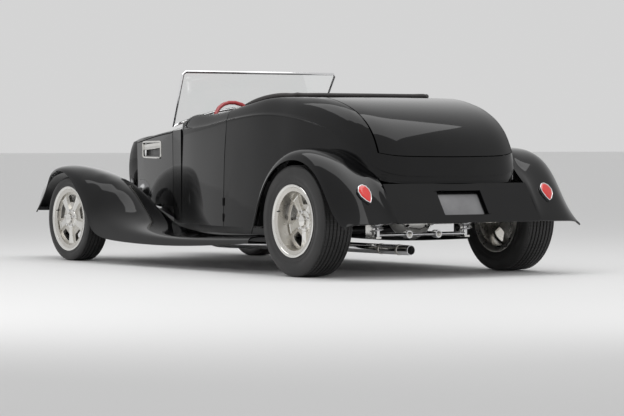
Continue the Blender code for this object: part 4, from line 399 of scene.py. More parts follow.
def sweep(path: Sequence[Vector], radius: float | Sequence[float], sides: int,
          closed: bool = False) -> BMesh:
    """Return a bar made by extruding a ring from point to point of a path.

    Args:
        path: The points of the middle line.
        radius: Radius of the bar, or its radius at each point.
        sides: Sides of the bar.
        closed: Whether the path returns to its start.

    Returns:
        The bar's mesh.
    """
    bm = bmesh.new()
    count = len(path)
    radii = [radius] * count if isinstance(radius, float) else radius
    tangents = []
    for index in range(count):
        before = path[index - 1] if closed or index else path[0]
        after = path[(index + 1) % count] if closed or index < count - 1 else path[-1]
        tangents.append((after - before).normalized())
    place = facing(path[0], tangents[0])
    first = new_ring(bm, place, radii[0], sides)
    ring = first
    for index in range(1, count):
        turn = tangents[index - 1].rotation_difference(tangents[index]).to_matrix().to_4x4()
        grow = Matrix.Scale(radii[index] / radii[index - 1], 4)
        move = Matrix.Translation(path[index]) @ turn @ grow @ Matrix.Translation(-path[index - 1])
        made = bmesh.ops.extrude_edge_only(bm, edges=ring)["geom"]
        ring = of_kind(made, BMEdge)
        bmesh.ops.transform(bm, matrix=move, verts=of_kind(made, BMVert))
    if closed:
        bmesh.ops.bridge_loops(bm, edges=first + ring)
    else:
        bmesh.ops.edgeloop_fill(bm, edges=first)
        bmesh.ops.edgeloop_fill(bm, edges=ring)
    bmesh.ops.recalc_face_normals(bm, faces=bm.faces[:])
    return bm


def turned(profile: Sequence[Pair], centre: Vector, axis: Vector, steps: int,
           loop: bool = False) -> BMesh:
    """Return a body turned from a profile.

    Args:
        profile: Radius and distance along the axis of each point.
        centre: The point on the axis that distances count from.
        axis: The axis.
        steps: Steps of the full turn.
        loop: Whether the last point joins the first.

    Returns:
        The mesh.
    """
    bm = bmesh.new()
    across = axis.orthogonal().normalized()
    verts = [bm.verts.new(centre + across * radius + axis * along) for radius, along in profile]
    pairs = list(zip(verts, verts[1:])) + ([(verts[-1], verts[0])] if loop else [])
    edges = [bm.edges.new(pair) for pair in pairs]
    bmesh.ops.spin(bm, geom=verts + edges, cent=centre, axis=axis, dvec=(0, 0, 0), angle=math.tau, steps=steps,
                   use_merge=True)
    bmesh.ops.remove_doubles(bm, verts=bm.verts[:], dist=WELD / 2)
    bmesh.ops.recalc_face_normals(bm, faces=bm.faces[:])
    return bm


def block(bm: BMesh, size: Vector, place: Matrix, bevel: float = 0.0, segments: int = 3) -> None:
    """Add a block with rounded edges.

    Args:
        bm: The mesh to add to.
        size: Its length, width and height.
        place: Where its middle stands.
        bevel: Radius of its edges.
        segments: Segments of the rounding.
    """
    made = bmesh.ops.create_cube(bm, size=1.0, matrix=place @ Matrix.Diagonal((*size, 1.0)))["verts"]
    if bevel:
        edges = list({edge for vert in made for edge in vert.link_edges})
        bmesh.ops.bevel(bm, geom=edges, offset=bevel, segments=segments, profile=0.5, affect="EDGES", material=-1)


def barrel(bm: BMesh, start: Vector, end: Vector, radius: float, sides: int, bevel: float = 0.0,
           tip: float | None = None) -> None:
    """Add a round bar or cone between two points.

    Args:
        bm: The mesh to add to.
        start: The middle of its foot.
        end: The middle of its head.
        radius: Radius at the foot.
        sides: Its sides.
        bevel: Rounding of its two rims.
        tip: Radius at the head where it differs.
    """
    length = (end - start).length
    place = facing((start + end) / 2, end - start)
    made = bmesh.ops.create_cone(bm, cap_ends=True, segments=sides, radius1=radius,
                                 radius2=radius if tip is None else tip, depth=length, matrix=place)["verts"]
    if bevel:
        edges = {edge for vert in made for edge in vert.link_edges}
        rims = [edge for edge in edges if abs((edge.verts[0].co - edge.verts[1].co).normalized().dot(
            (end - start).normalized())) < 0.5]
        bmesh.ops.bevel(bm, geom=rims, offset=bevel, segments=2, profile=0.5, affect="EDGES", material=-1)


def merged_copy(node: str) -> BMesh:
    """Return a copy of a solid's mesh with its triangles joined up again.

    Args:
        node: The solid's name.

    Returns:
        The merged mesh.
    """
    bm = bmesh.new()
    bm.from_mesh(frame["nodes"][node].data)
    bmesh.ops.remove_doubles(bm, verts=bm.verts[:], dist=WELD)
    bmesh.ops.join_triangles(bm, faces=bm.faces[:], angle_face_threshold=0.6, angle_shape_threshold=0.7)
    return bm


@dataclass
class Workshop:
    """Makes objects from meshes and keeps count of them."""

    palette: Palette
    made: list[str] = field(default_factory=list)

    def publish(self, name: str, bm: BMesh, finish: str, body: str = "chassis", angle: float = 40.0,
                levels: int = 0, bevel: float = 0.0, stands_for: Sequence[str] = ()) -> Object:
        """Turn a mesh into a finished piece that rides on a body.

        Args:
            name: The piece's name.
            bm: Its mesh, which is freed.
            finish: The finish's name.
            body: The body that it rides on.
            angle: Degrees past which an edge stays sharp.
            levels: Levels of subdivision, with sharp edges creased.
            bevel: Width of a live bevel on sharp edges.
            stands_for: Solids that the piece replaces.

        Returns:
            The piece.
        """
        limit = math.radians(angle)
        crease = bm.edges.layers.float.new("crease_edge") if levels else None
        for edge in bm.edges:
            sharp = len(edge.link_faces) != 2 or edge.calc_face_angle(math.pi) > limit
            edge.smooth = not sharp
            if crease and sharp:
                edge[crease] = 1.0
        for face in bm.faces:
            face.smooth = True
        item = show(name, mesh_of(name, bm))
        self.palette.dress(item, finish)
        if bevel:
            modifier = item.modifiers.new("rounded", "BEVEL")
            modifier.width, modifier.segments, modifier.limit_method = bevel, 2, "ANGLE"
            modifier.angle_limit = limit
        if levels:
            modifier = item.modifiers.new("smooth", "SUBSURF")
            modifier.levels = modifier.render_levels = levels
        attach(item, body)
        if stands_for:
            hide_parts(*stands_for)
        self.made.append(name)
        LOG.info("%s: %d faces, on %s", name, len(item.data.polygons), body)
        return item


def body_of(node: str) -> str:
    """Return the body that a solid belongs to.

    Args:
        node: The solid's name.

    Returns:
        The body's name.
    """
    for body, members in frame["record"]["behaviour"]["bodies"].items():
        if node in members:
            return body
    raise KeyError(node)


# Painted panels and plain solids

PANELS = (
    "body_tub", "cowl", "hood_side_left", "hood_side_right", "hood_top", "grille_shell", "front_fender_left",
    "front_fender_right", "rear_fender_left", "rear_fender_right", "rear_pan", "door_left", "door_right", "deck_lid",
)
SOLIDS = {
    "grille_insert": "bright_chrome", "headlamp_left": "bright_chrome", "headlamp_right": "bright_chrome",
    "windshield_frame": "bright_chrome", "windshield_glass": "clear_pane",
    "dashboard": "trim_leather", "steering_column": "bright_chrome",
    "floor_and_firewall": "dark_carpet", "trunk_floor": "dark_carpet", "frame_rails": "chassis_black",
    "engine_block": "cast_iron", "exhaust": "bright_chrome", "front_axle": "bright_chrome",
    "rear_axle": "polished_alloy", "rear_suspension": "bright_chrome", "knuckle_left": "bright_chrome",
    "knuckle_right": "bright_chrome", "tie_rod": "bright_chrome",
}


@dataclass(frozen=True)
class PanelDresser:
    """Gives sheet-metal solids their paint and rounded panel edges."""

    shop: Workshop
    angle: float = 38.0
    fender_angle: float = 62.0

    def build(self) -> None:
        """Dress every painted panel, with the fenders' tips kept round."""
        for node in PANELS:
            angle = self.fender_angle if "_fender_" in node else self.angle
            self.shop.publish(f"{node}_painted", merged_copy(node), "gloss_black", body_of(node), angle, levels=2,
                              stands_for=(node,))


@dataclass(frozen=True)
class SolidDresser:
    """Gives the mechanical and trim solids their finish and softened edges."""

    shop: Workshop
    edge_bevel: float = 0.0008

    def build(self) -> None:
        """Dress every solid in the list."""
        for node, finish in SOLIDS.items():
            self.shop.publish(f"{node}_finished", merged_copy(node), finish, body_of(node), 35.0,
                              bevel=self.edge_bevel, stands_for=(node,))


# Wheels and tyres

class Corner(Enum):
    """The four wheels, with their axle and side."""

    FRONT_LEFT = ("front", Side.LEFT)
    FRONT_RIGHT = ("front", Side.RIGHT)
    REAR_LEFT = ("rear", Side.LEFT)
    REAR_RIGHT = ("rear", Side.RIGHT)

    @property
    def label(self) -> str:
        """The wheel's part of a name."""
        return f"{self.value[0]}_{self.value[1].label}"

    @property
    def side(self) -> Side:
        """The wheel's side of the car."""
        return self.value[1]

    @property
    def size(self) -> "WheelSize":
        """The wheel's sizes."""
        return WHEELS[self.value[0]]


@dataclass(frozen=True)
class WheelSize:
    """The sizes of one axle's wheels."""

    x: float
    track: float
    radius: float
    width: float
    disc: float
    ribs: int
    pitches: int
    window: Pair
    bead: float = 0.2035
    lip: float = 0.2195

    def centre(self, side: Side) -> Vector:
        """Return the middle of a wheel."""
        return Vector((self.x, side.value * self.track, self.radius))


WHEELS = {
    "front": WheelSize(FRONT_X, 0.734, 0.286, 0.165, 0.048, 5, 84, (0.112, 0.163)),
    "rear": WheelSize(REAR_X, 0.765, 0.336, 0.225, 0.013, 7, 92, (0.100, 0.166)),
}


@dataclass(frozen=True)
class Tyre:
    """A road tyre with grooved tread, made by turning its section round the axle."""

    shop: Workshop
    corner: Corner
    groove: float = 0.0085
    groove_width: float = 0.0060
    slot_width: float = 0.0014
    slot_slope: float = 0.0006
    block: float = 0.0032
    crown: float = 0.004
    tread_share: float = 0.405
    inner_share: float = 0.86

    def tread(self) -> list[Pair]:
        """Return the tread's section from edge to edge, with its grooves.

        Returns:
            Radius and place across of each point.
        """
        size = self.corner.size
        half = size.width * self.tread_share
        band = 2 * half / size.ribs
        points = []
        for index in range(size.ribs):
            low = -half + band * index
            for along in (low + self.groove_width / 2, low + band - self.groove_width / 2):
                points.append((size.radius - self.block - self.crown * (along / half) ** 2, along))
            if index < size.ribs - 1:
                edge = low + band
                deep = size.radius - self.groove
                points += [(deep, edge - self.groove_width * 0.35), (deep, edge + self.groove_width * 0.35)]
        return points

    def sidewall(self) -> list[Pair]:
        """Return one side's section from the tread's edge to the bead.

        Returns:
            Radius and place across of each point.
        """
        size = self.corner.size
        drop = size.radius - size.bead
        half = size.width / 2
        shares = ((0.045, 0.875), (0.085, 0.925), (0.15, 0.965), (0.26, 0.99), (0.40, 1.0), (0.52, 0.995),
                  (0.535, 0.985), (0.66, 0.975), (0.675, 0.985), (0.80, 0.95), (0.90, 0.905), (0.97, 0.88))
        return [(size.radius - drop * down, half * out) for down, out in shares]

    def section(self) -> list[Pair]:
        """Return the tyre's whole closed section.

        Returns:
            Radius and place across of each point.
        """
        side = self.sidewall()
        near = [(radius, -along) for radius, along in reversed(side)]
        inner = self.corner.size.bead - 0.002
        reach = self.corner.size.width / 2 * self.inner_share
        return near + self.tread() + side + [(inner, reach), (inner, -reach)]

    def build(self) -> None:
        """Turn the carcass and part its ribs into blocks."""
        label, centre = self.corner.label, self.corner.size.centre(self.corner.side)
        bm = turned(self.section(), centre, LEFT, self.corner.size.pitches, loop=True)
        self.cut_blocks(bm, centre)
        self.shop.publish(f"tyre_{label}_carcass", bm, "sidewall_rubber", f"wheel_{label}", 32.0,
                          stands_for=(f"tyre_{label}",))

    def cut_blocks(self, bm: BMesh, centre: Vector) -> None:
        """Sink a fine slot round each block of the tread.

        Args:
            bm: The turned tyre.
            centre: The wheel's middle.
        """
        blocks = []
        for face in bm.faces:
            gap = face.calc_center_median() - centre
            gap.y = 0
            above = gap.length > self.corner.size.radius - self.groove * 0.92
            if above and face.normal.dot(gap.normalized()) > 0.9:
                blocks.append(face)
        for thickness, depth in ((self.slot_width, 0.0), (self.slot_slope, self.block)):
            bmesh.ops.inset_individual(bm, faces=blocks, thickness=thickness, depth=depth, use_even_offset=True)


@dataclass(frozen=True)
class Wheel:
    """An alloy wheel: the solid's rim with its lip, centre, cap and lugs."""

    shop: Workshop
    corner: Corner
    lug_count: int = 5
    web_hole: float = 0.05
    web_edge: float = 0.1805
    web_wall: float = 0.0212
    web_lift: float = 0.0006
    rib_half_width: float = 0.034
    window_power: float = 0.55
    land: tuple[Pair, ...] = ((0.060, 0.38), (0.085, 0.235), (0.125, 0.18), (0.160, 0.185), (0.172, 0.215))
    land_foot: float = 0.0003
    land_rise: float = 0.012
    land_slope: float = 0.05
    land_sink: float = 0.003
    lug_circle: float = 0.0545

    @property
    def size(self) -> WheelSize:
        """The wheel's sizes."""
        return self.corner.size

    @property
    def middle(self) -> Vector:
        """The wheel's middle."""
        return self.size.centre(self.corner.side)

    @property
    def out(self) -> Vector:
        """The direction away from the car."""
        return LEFT * self.corner.side.value

    def point(self, radius: float, turn: float, out: float) -> Vector:
        """Return the point at a radius, an angle and a distance outward from the wheel's middle plane."""
        across = Vector((math.cos(turn), 0, math.sin(turn))) * radius
        return self.middle + across + self.out * out

    def build(self) -> None:
        """Build the rim, its lip, its centre and its lugs."""
        node = f"rim_{self.corner.label}"
        self.publish(f"{node}_alloy", merged_copy(node), "satin_alloy", bevel=0.0012, stands_for=(node,))
        self.publish(f"{node}_web", self.web(), "satin_alloy", bevel=0.002)
        for part, made, finish in (("lip", self.lip, "polished_alloy"), ("spokes", self.spokes, "polished_alloy"),
                                   ("centre", self.centre, "polished_alloy"), ("lugs", self.lugs, "bright_chrome"),
                                   ("valve", self.valve, "tread_rubber")):
            self.publish(f"{node}_{part}", made(), finish)

    def publish(self, name: str, bm: BMesh, finish: str, **more) -> Object:
        """Publish a piece that turns with the wheel."""
        return self.shop.publish(name, bm, finish, f"wheel_{self.corner.label}", 35.0, **more)

    def turn(self, profile: Sequence[Pair], steps: int, loop: bool) -> BMesh:
        """Return a body turned round the wheel's axle, with distances counted outward."""
        return turned(profile, self.middle, self.out, steps, loop)

    def lip(self) -> BMesh:
        """Return the polished rolled lip with its step into the barrel.

        Returns:
            The turned lip.
        """
        lip, out = self.size.lip, self.size.width / 2 - 0.0045
        section = (
            (lip - 0.0005, out - 0.004), (lip + 0.0012, out), (lip - 0.0005, out + 0.0028),
            (lip - 0.006, out + 0.0036), (lip - 0.012, out + 0.0022), (lip - 0.0165, out - 0.002),
            (lip - 0.0215, out - 0.0105), (lip - 0.0275, out - 0.0125), (lip - 0.0405, out - 0.015),
            (lip - 0.0405, out - 0.019), (lip - 0.0275, out - 0.0165), (lip - 0.0185, out - 0.0125),
            (lip - 0.008, out - 0.0015),
        )
        return self.turn(section, 96, True)

    def window(self, middle: float) -> list[Pair]:
        """Return one rounded window's outline.

        Args:
            middle: The window's angle.

        Returns:
            Radius and angle of each point.
        """
        low, high = self.size.window
        outline = []
        for step in range(32):
            turn = math.tau * step / 32
            across, along = (math.copysign(abs(part) ** self.window_power, part)
                             for part in (math.cos(turn), math.sin(turn)))
            radius = (low + high) / 2 + (high - low) / 2 * along
            outline.append((radius, middle + across * (math.pi / self.lug_count - self.rib_half_width / radius)))
        return outline

    def web(self) -> BMesh:
        """Return the disc's face, with windows that leave broad ribs and a broad ring round them.

        Returns:
            The face.
        """
        bm = bmesh.new()
        circle = [math.tau * step / 72 for step in range(72)]
        loops = [[(radius, turn) for turn in circle] for radius in (self.web_hole, self.web_edge)]
        loops += [self.window(math.tau * index / self.lug_count + math.pi / 2) for index in range(self.lug_count)]
        edges = []
        for loop in loops:
            verts = [bm.verts.new(self.point(radius, turn, self.size.disc + self.web_lift)) for radius, turn in loop]
            edges += [bm.edges.new((verts[index - 1], vert)) for index, vert in enumerate(verts)]
        filled = bmesh.ops.triangle_fill(bm, use_beauty=True, edges=edges)["geom"]
        back = bmesh.ops.extrude_face_region(bm, geom=of_kind(filled, BMFace))["geom"]
        bmesh.ops.translate(bm, verts=of_kind(back, BMVert), vec=-self.out * self.web_wall)
        bmesh.ops.recalc_face_normals(bm, faces=bm.faces[:])
        return bm

    def spokes(self) -> BMesh:
        """Return five stepped spoke faces between the windows.

        Returns:
            The five faces.
        """
        bm = bmesh.new()
        for index in range(self.lug_count):
            self.spoke(bm, math.tau * (index + 0.5) / self.lug_count + math.pi / 2)
        bmesh.ops.recalc_face_normals(bm, faces=bm.faces[:])
        return bm

    def spoke(self, bm: BMesh, middle: float) -> None:
        """Add one spoke face, with a raised land sunk round its rim.

        Args:
            bm: The mesh to add to.
            middle: The spoke's angle.
        """
        points = [*self.land, *((radius, -turn) for radius, turn in reversed(self.land))]
        foot = self.size.disc + self.land_foot
        base = bm.faces.new([bm.verts.new(self.point(radius, middle + turn, foot)) for radius, turn in points])
        raised = bmesh.ops.extrude_face_region(bm, geom=[base])["geom"]
        top = of_kind(raised, BMFace)
        for vert in of_kind(raised, BMVert):
            gap = vert.co - self.middle
            vert.co += self.out * (self.land_rise - self.land_slope * max(math.hypot(gap.x, gap.z) - 0.085, 0.0))
        for thickness in (0.0022, 0.004):
            bmesh.ops.inset_region(bm, faces=top, thickness=thickness, depth=0.0, use_even_offset=True)
        bmesh.ops.translate(bm, verts=list({vert for face in top for vert in face.verts}),
                            vec=-self.out * self.land_sink)

    def centre(self) -> BMesh:
        """Return the turned centre boss and its domed cap.

        Returns:
            The turned boss.
        """
        face = self.size.disc
        section = (
            (0.0, face), (0.064, face), (0.066, face + 0.006), (0.062, face + 0.013), (0.050, face + 0.0165),
            (0.046, face + 0.0155), (0.042, face + 0.0155), (0.038, face + 0.018), (0.0365, face + 0.030),
            (0.034, face + 0.0345), (0.026, face + 0.0375), (0.012, face + 0.0395), (0.0, face + 0.040),
        )
        return self.turn(section, 64, False)

    def lugs(self) -> BMesh:
        """Return the wheel nuts.

        Returns:
            The nuts with their tips.
        """
        bm = bmesh.new()
        face = self.size.disc + 0.012
        for index in range(self.lug_count):
            angle = math.tau * index / self.lug_count + math.pi / 2
            foot, head, tip = (self.point(self.lug_circle, angle, face + rise) for rise in (0.0, 0.014, 0.019))
            barrel(bm, foot, head, 0.0085, 6, bevel=0.001)
            barrel(bm, head, tip, 0.0062, 12, bevel=0.001, tip=0.004)
        return bm

    def valve(self) -> BMesh:
        """Return the valve stem on the barrel.

        Returns:
            The stem.
        """
        bm = bmesh.new()
        out = self.size.width / 2 - 0.024
        foot = self.point(0.180, math.radians(18), out - 0.004)
        barrel(bm, foot, self.point(0.172, math.radians(18), out + 0.022), 0.0042, 10, bevel=0.0006, tip=0.0034)
        return bm


# Lamps, plate and vents

def skin_tree(node: str) -> BVHTree:
    """Return a search tree of a solid's surface."""
    mesh = frame["nodes"][node].data
    return BVHTree.FromPolygons([vert.co for vert in mesh.vertices], [face.vertices for face in mesh.polygons])


def skin_point(node: str, start: Vector, direction: Vector) -> tuple[Vector, Vector]:
    """Return where a line first meets a solid, and the solid's normal there.

    Args:
        node: The solid's name.
        start: Where the line starts.
        direction: Where it goes.

    Returns:
        The place and the outward normal.
    """
    place, normal, _, _ = skin_tree(node).ray_cast(start, direction.normalized())
    if place is None:
        raise ValueError(f"no surface of {node} from {tuple(start)}")
    return place, normal


@dataclass(frozen=True)
class Coaming:
    """The padded roll round the back of the cockpit, let down onto the tub, with tapering ends."""

    shop: Workshop
    radius: float = 0.0155
    ring_reach: float = 0.0355
    sink: float = 0.005
    taper: float = 0.16
    tip_share: float = 0.3
    steps: int = 5

    def middles(self) -> list[Vector]:
        """Return the middles of the solid's rings, from left to right.

        Returns:
            The middles.
        """
        bm = merged_copy("cockpit_coaming")
        loose = [vert.co.copy() for vert in bm.verts]
        bm.free()
        middles = []
        while loose:
            ring = [place for place in loose if (place - loose[0]).length < self.ring_reach]
            loose = [place for place in loose if (place - loose[0]).length >= self.ring_reach]
            middles.append(sum(ring, Vector()) / len(ring))
        return sorted(middles, key=lambda place: -place.y)

    def curve(self, points: Sequence[Vector]) -> list[Vector]:
        """Return a smooth line through points.

        Args:
            points: The points that it passes.

        Returns:
            The line's points.
        """
        ends = [points[0] * 2 - points[1], *points, points[-1] * 2 - points[-2]]
        line = []
        for before, start, end, after in zip(ends, ends[1:], ends[2:], ends[3:]):
            for step in range(self.steps):
                t = step / self.steps
                bend = (before * 2 - start * 5 + end * 4 - after) * t ** 2
                twist = (start * 3 - before - end * 3 + after) * t ** 3
                line.append((start * 2 + (end - before) * t + bend + twist) / 2)
        return line + [points[-1]]

    def build(self) -> None:
        """Seat the line on the tub's rim and sweep the roll along it."""
        tree = skin_tree("body_tub")
        seated = []
        for place in self.middles():
            gap = tree.find_nearest(place)[0] - place
            seated.append(place + gap.normalized() * max(0.0, gap.length - self.radius + self.sink))
        line = self.curve(seated)
        radii = []
        for place in line:
            share = min(1.0, min((place - line[0]).length, (place - line[-1]).length) / self.taper)
            radii.append(self.radius * (self.tip_share + (1 - self.tip_share) * math.sin(share * math.pi / 2)))
        self.shop.publish("cockpit_coaming_finished", sweep(line, radii, 16), "trim_leather", angle=60.0,
                          stands_for=("cockpit_coaming",))


@dataclass(frozen=True)
class TailLamp:
    """A teardrop lens in a polished bezel."""

    shop: Workshop
    side: Side
    bezel: float = 0.0034
    spread: float = 1.28
    sink: float = 0.0035
    dome: tuple[Pair, ...] = ((0.003, 0.0026), (0.005, 0.0022), (0.006, 0.0012), (0.007, 0.0005))

    def build(self) -> None:
        """Build the lens and its bezel from the lamp's solid."""
        node = f"tail_lamp_{self.side.label}"
        bm = bmesh.new()
        bm.from_mesh(frame["nodes"][node].data)
        bmesh.ops.remove_doubles(bm, verts=bm.verts[:], dist=WELD)
        bmesh.ops.dissolve_limit(bm, angle_limit=0.05, verts=bm.verts[:], edges=bm.edges[:])
        front = max((face for face in bm.faces if face.normal.x < 0), key=lambda face: face.calc_area())
        outward = front.normal.copy()
        middle = front.calc_center_median()
        for vert in bm.verts:
            gap = vert.co - middle
            across = gap - outward * gap.dot(outward)
            vert.co += across * (self.spread - 1) - outward * self.sink
        rim = [vert.co - outward * 0.0012 for vert in front.verts]
        for thickness, depth in self.dome:
            bmesh.ops.inset_region(bm, faces=[front], thickness=thickness, depth=depth, use_even_offset=True)
        bmesh.ops.poke(bm, faces=[front])
        lens = self.shop.publish(f"{node}_lens", bm, "red_lens", angle=50.0, levels=2, stands_for=(node,))
        lens.data.materials.append(self.shop.palette.materials["bright_chrome"])
        for face in lens.data.polygons:
            face.material_index = 0 if face.normal.dot(outward) > 0.3 else 1
        self.shop.publish(f"{node}_bezel", sweep(rim, self.bezel, 10, closed=True), "bright_chrome", angle=60.0)


@dataclass(frozen=True)
class Plate:
    """The blank plate in the rear pan's recess."""

    shop: Workshop
    middle: Triple = (-1.94499, 0.0, 0.43071)
    normal: Triple = (-0.83734, 0.0, 0.54668)
    size: Pair = (0.300, 0.145)
    thick: float = 0.0036
    lift: float = 0.0022
    edge: float = 0.0012
    wire: float = 0.0022
    wire_lift: float = 0.004
    round: float = 0.010

    def build(self) -> None:
        """Build the plate and its slim frame."""
        middle, normal = Vector(self.middle), Vector(self.normal).normalized()
        up = normal.cross(LEFT).normalized()
        up = up if up.z > 0 else -up
        turn = Matrix((LEFT, up, normal)).transposed().to_4x4()
        place = Matrix.Translation(middle + normal * self.lift) @ turn
        plate = bmesh.new()
        block(plate, Vector((*self.size, self.thick)), place, self.edge)
        self.shop.publish("blank_plate", plate, "plate_grey")
        half_y, half_up = (size / 2 - self.round for size in self.size)
        path = []
        for corner, (sign_y, sign_up) in enumerate(((1, 1), (-1, 1), (-1, -1), (1, -1))):
            for step in range(5):
                angle = math.pi / 2 * (corner + step / 4)
                path.append(middle + normal * self.wire_lift + LEFT * (sign_y * half_y + self.round * math.cos(angle))
                            + up * (sign_up * half_up + self.round * math.sin(angle)))
        self.shop.publish("plate_frame", sweep(path, self.wire, 8, closed=True), "chassis_black", angle=60.0)


@dataclass(frozen=True)
class HoodVent:
    """A polished bezel round a hood side's vent, with a blade and a dark sheet behind, painted shade of the hood's
    hollow.
    """

    shop: Workshop
    side: Side
    corners: tuple[Pair, ...] = ((1.204, 0.704), (1.204, 0.808), (0.786, 0.812), (0.786, 0.702))
    thick: float = 0.0062
    blade: Pair = (0.010, 0.040)
    blade_edge: float = 0.0045
    # Section and lift of the dark sheet behind the vent: painted shade of the hood's hollow.
    screen: Pair = (0.003, 0.125)
    screen_lift: float = 0.067

    def on_skin(self, x: float, z: float, lift: float) -> Vector:
        """Return the point of the hood side at a place, lifted off it.

        Args:
            x: Its place along the car.
            z: Its height.
            lift: Distance off the skin.

        Returns:
            The lifted point.
        """
        node = f"hood_side_{self.side.label}"
        place, _ = skin_point(node, Vector((x, self.side.value, z)), -LEFT * self.side.value)
        return place + LEFT * self.side.value * lift

    def build(self) -> None:
        """Build the bezel, the blade and the dark sheet of painted shade."""
        path = []
        for corner, after in zip(self.corners, self.corners[1:] + self.corners[:1]):
            for step in range(8):
                share = 0.06 + 0.88 * step / 7
                x, z = (here + (there - here) * share for here, there in zip(corner, after))
                path.append(self.on_skin(x, z, 0.001))
        self.shop.publish(f"hood_vent_bezel_{self.side.label}", sweep(path, self.thick, 10, closed=True),
                          "polished_alloy", angle=60.0)
        ends = self.on_skin(1.200, 0.772, -0.002), self.on_skin(0.790, 0.786, -0.002)
        self.strip("blade", ends, self.blade, self.blade_edge, "polished_alloy")
        # Dark sheet behind the vent: painted shade where the hood's hollow shows through.
        ends = (self.on_skin(x, 0.690, -0.028) + UP * self.screen_lift for x in (1.210, 0.780))
        self.strip("screen", tuple(ends), self.screen, 0.0, "chassis_black")

    def strip(self, name: str, ends: tuple[Vector, Vector], section: Pair, bevel: float, finish: str) -> None:
        """Build a flat bar behind the vent.

        Args:
            name: Its part of the piece's name.
            ends: The middles of its two ends.
            section: Its thickness and height.
            bevel: Radius of its edges.
            finish: Its finish.
        """
        start, end = ends
        turn = (end - start).to_track_quat("X", "Z").to_matrix().to_4x4()
        bm = bmesh.new()
        block(bm, Vector(((end - start).length, *section)), Matrix.Translation((start + end) / 2) @ turn, bevel)
        self.shop.publish(f"hood_vent_{name}_{self.side.label}", bm, finish)


@dataclass(frozen=True)
class Headlamp:
    """A clear lens in a polished ring over a bright bowl."""

    shop: Workshop
    side: Side
    seen_from: Triple = (2.6, 0.3036, 0.462)
    ring: tuple[Pair, ...] = (
        (0.068, 0.0), (0.071, 0.006), (0.0755, 0.007), (0.079, 0.003), (0.079, -0.006), (0.074, -0.006),
    )
    lens: tuple[Pair, ...] = (
        (0.0, 0.018), (0.025, 0.0166), (0.045, 0.013), (0.060, 0.0075), (0.070, 0.0015), (0.070, 0.0005),
        (0.0, 0.0005),
    )
    sides: int = 64

    def build(self) -> None:
        """Build the ring and the lens on the lamp's front face."""
        node = f"headlamp_{self.side.label}"
        x, y, z = self.seen_from
        face, _ = skin_point(node, Vector((x, y * self.side.value, z)), -FORWARD)
        self.shop.publish(f"{node}_ring", turned(self.ring, face, FORWARD, self.sides, True), "bright_chrome")
        self.shop.publish(f"{node}_lens", turned(self.lens, face, FORWARD, self.sides), "clear_pane")


# Cockpit

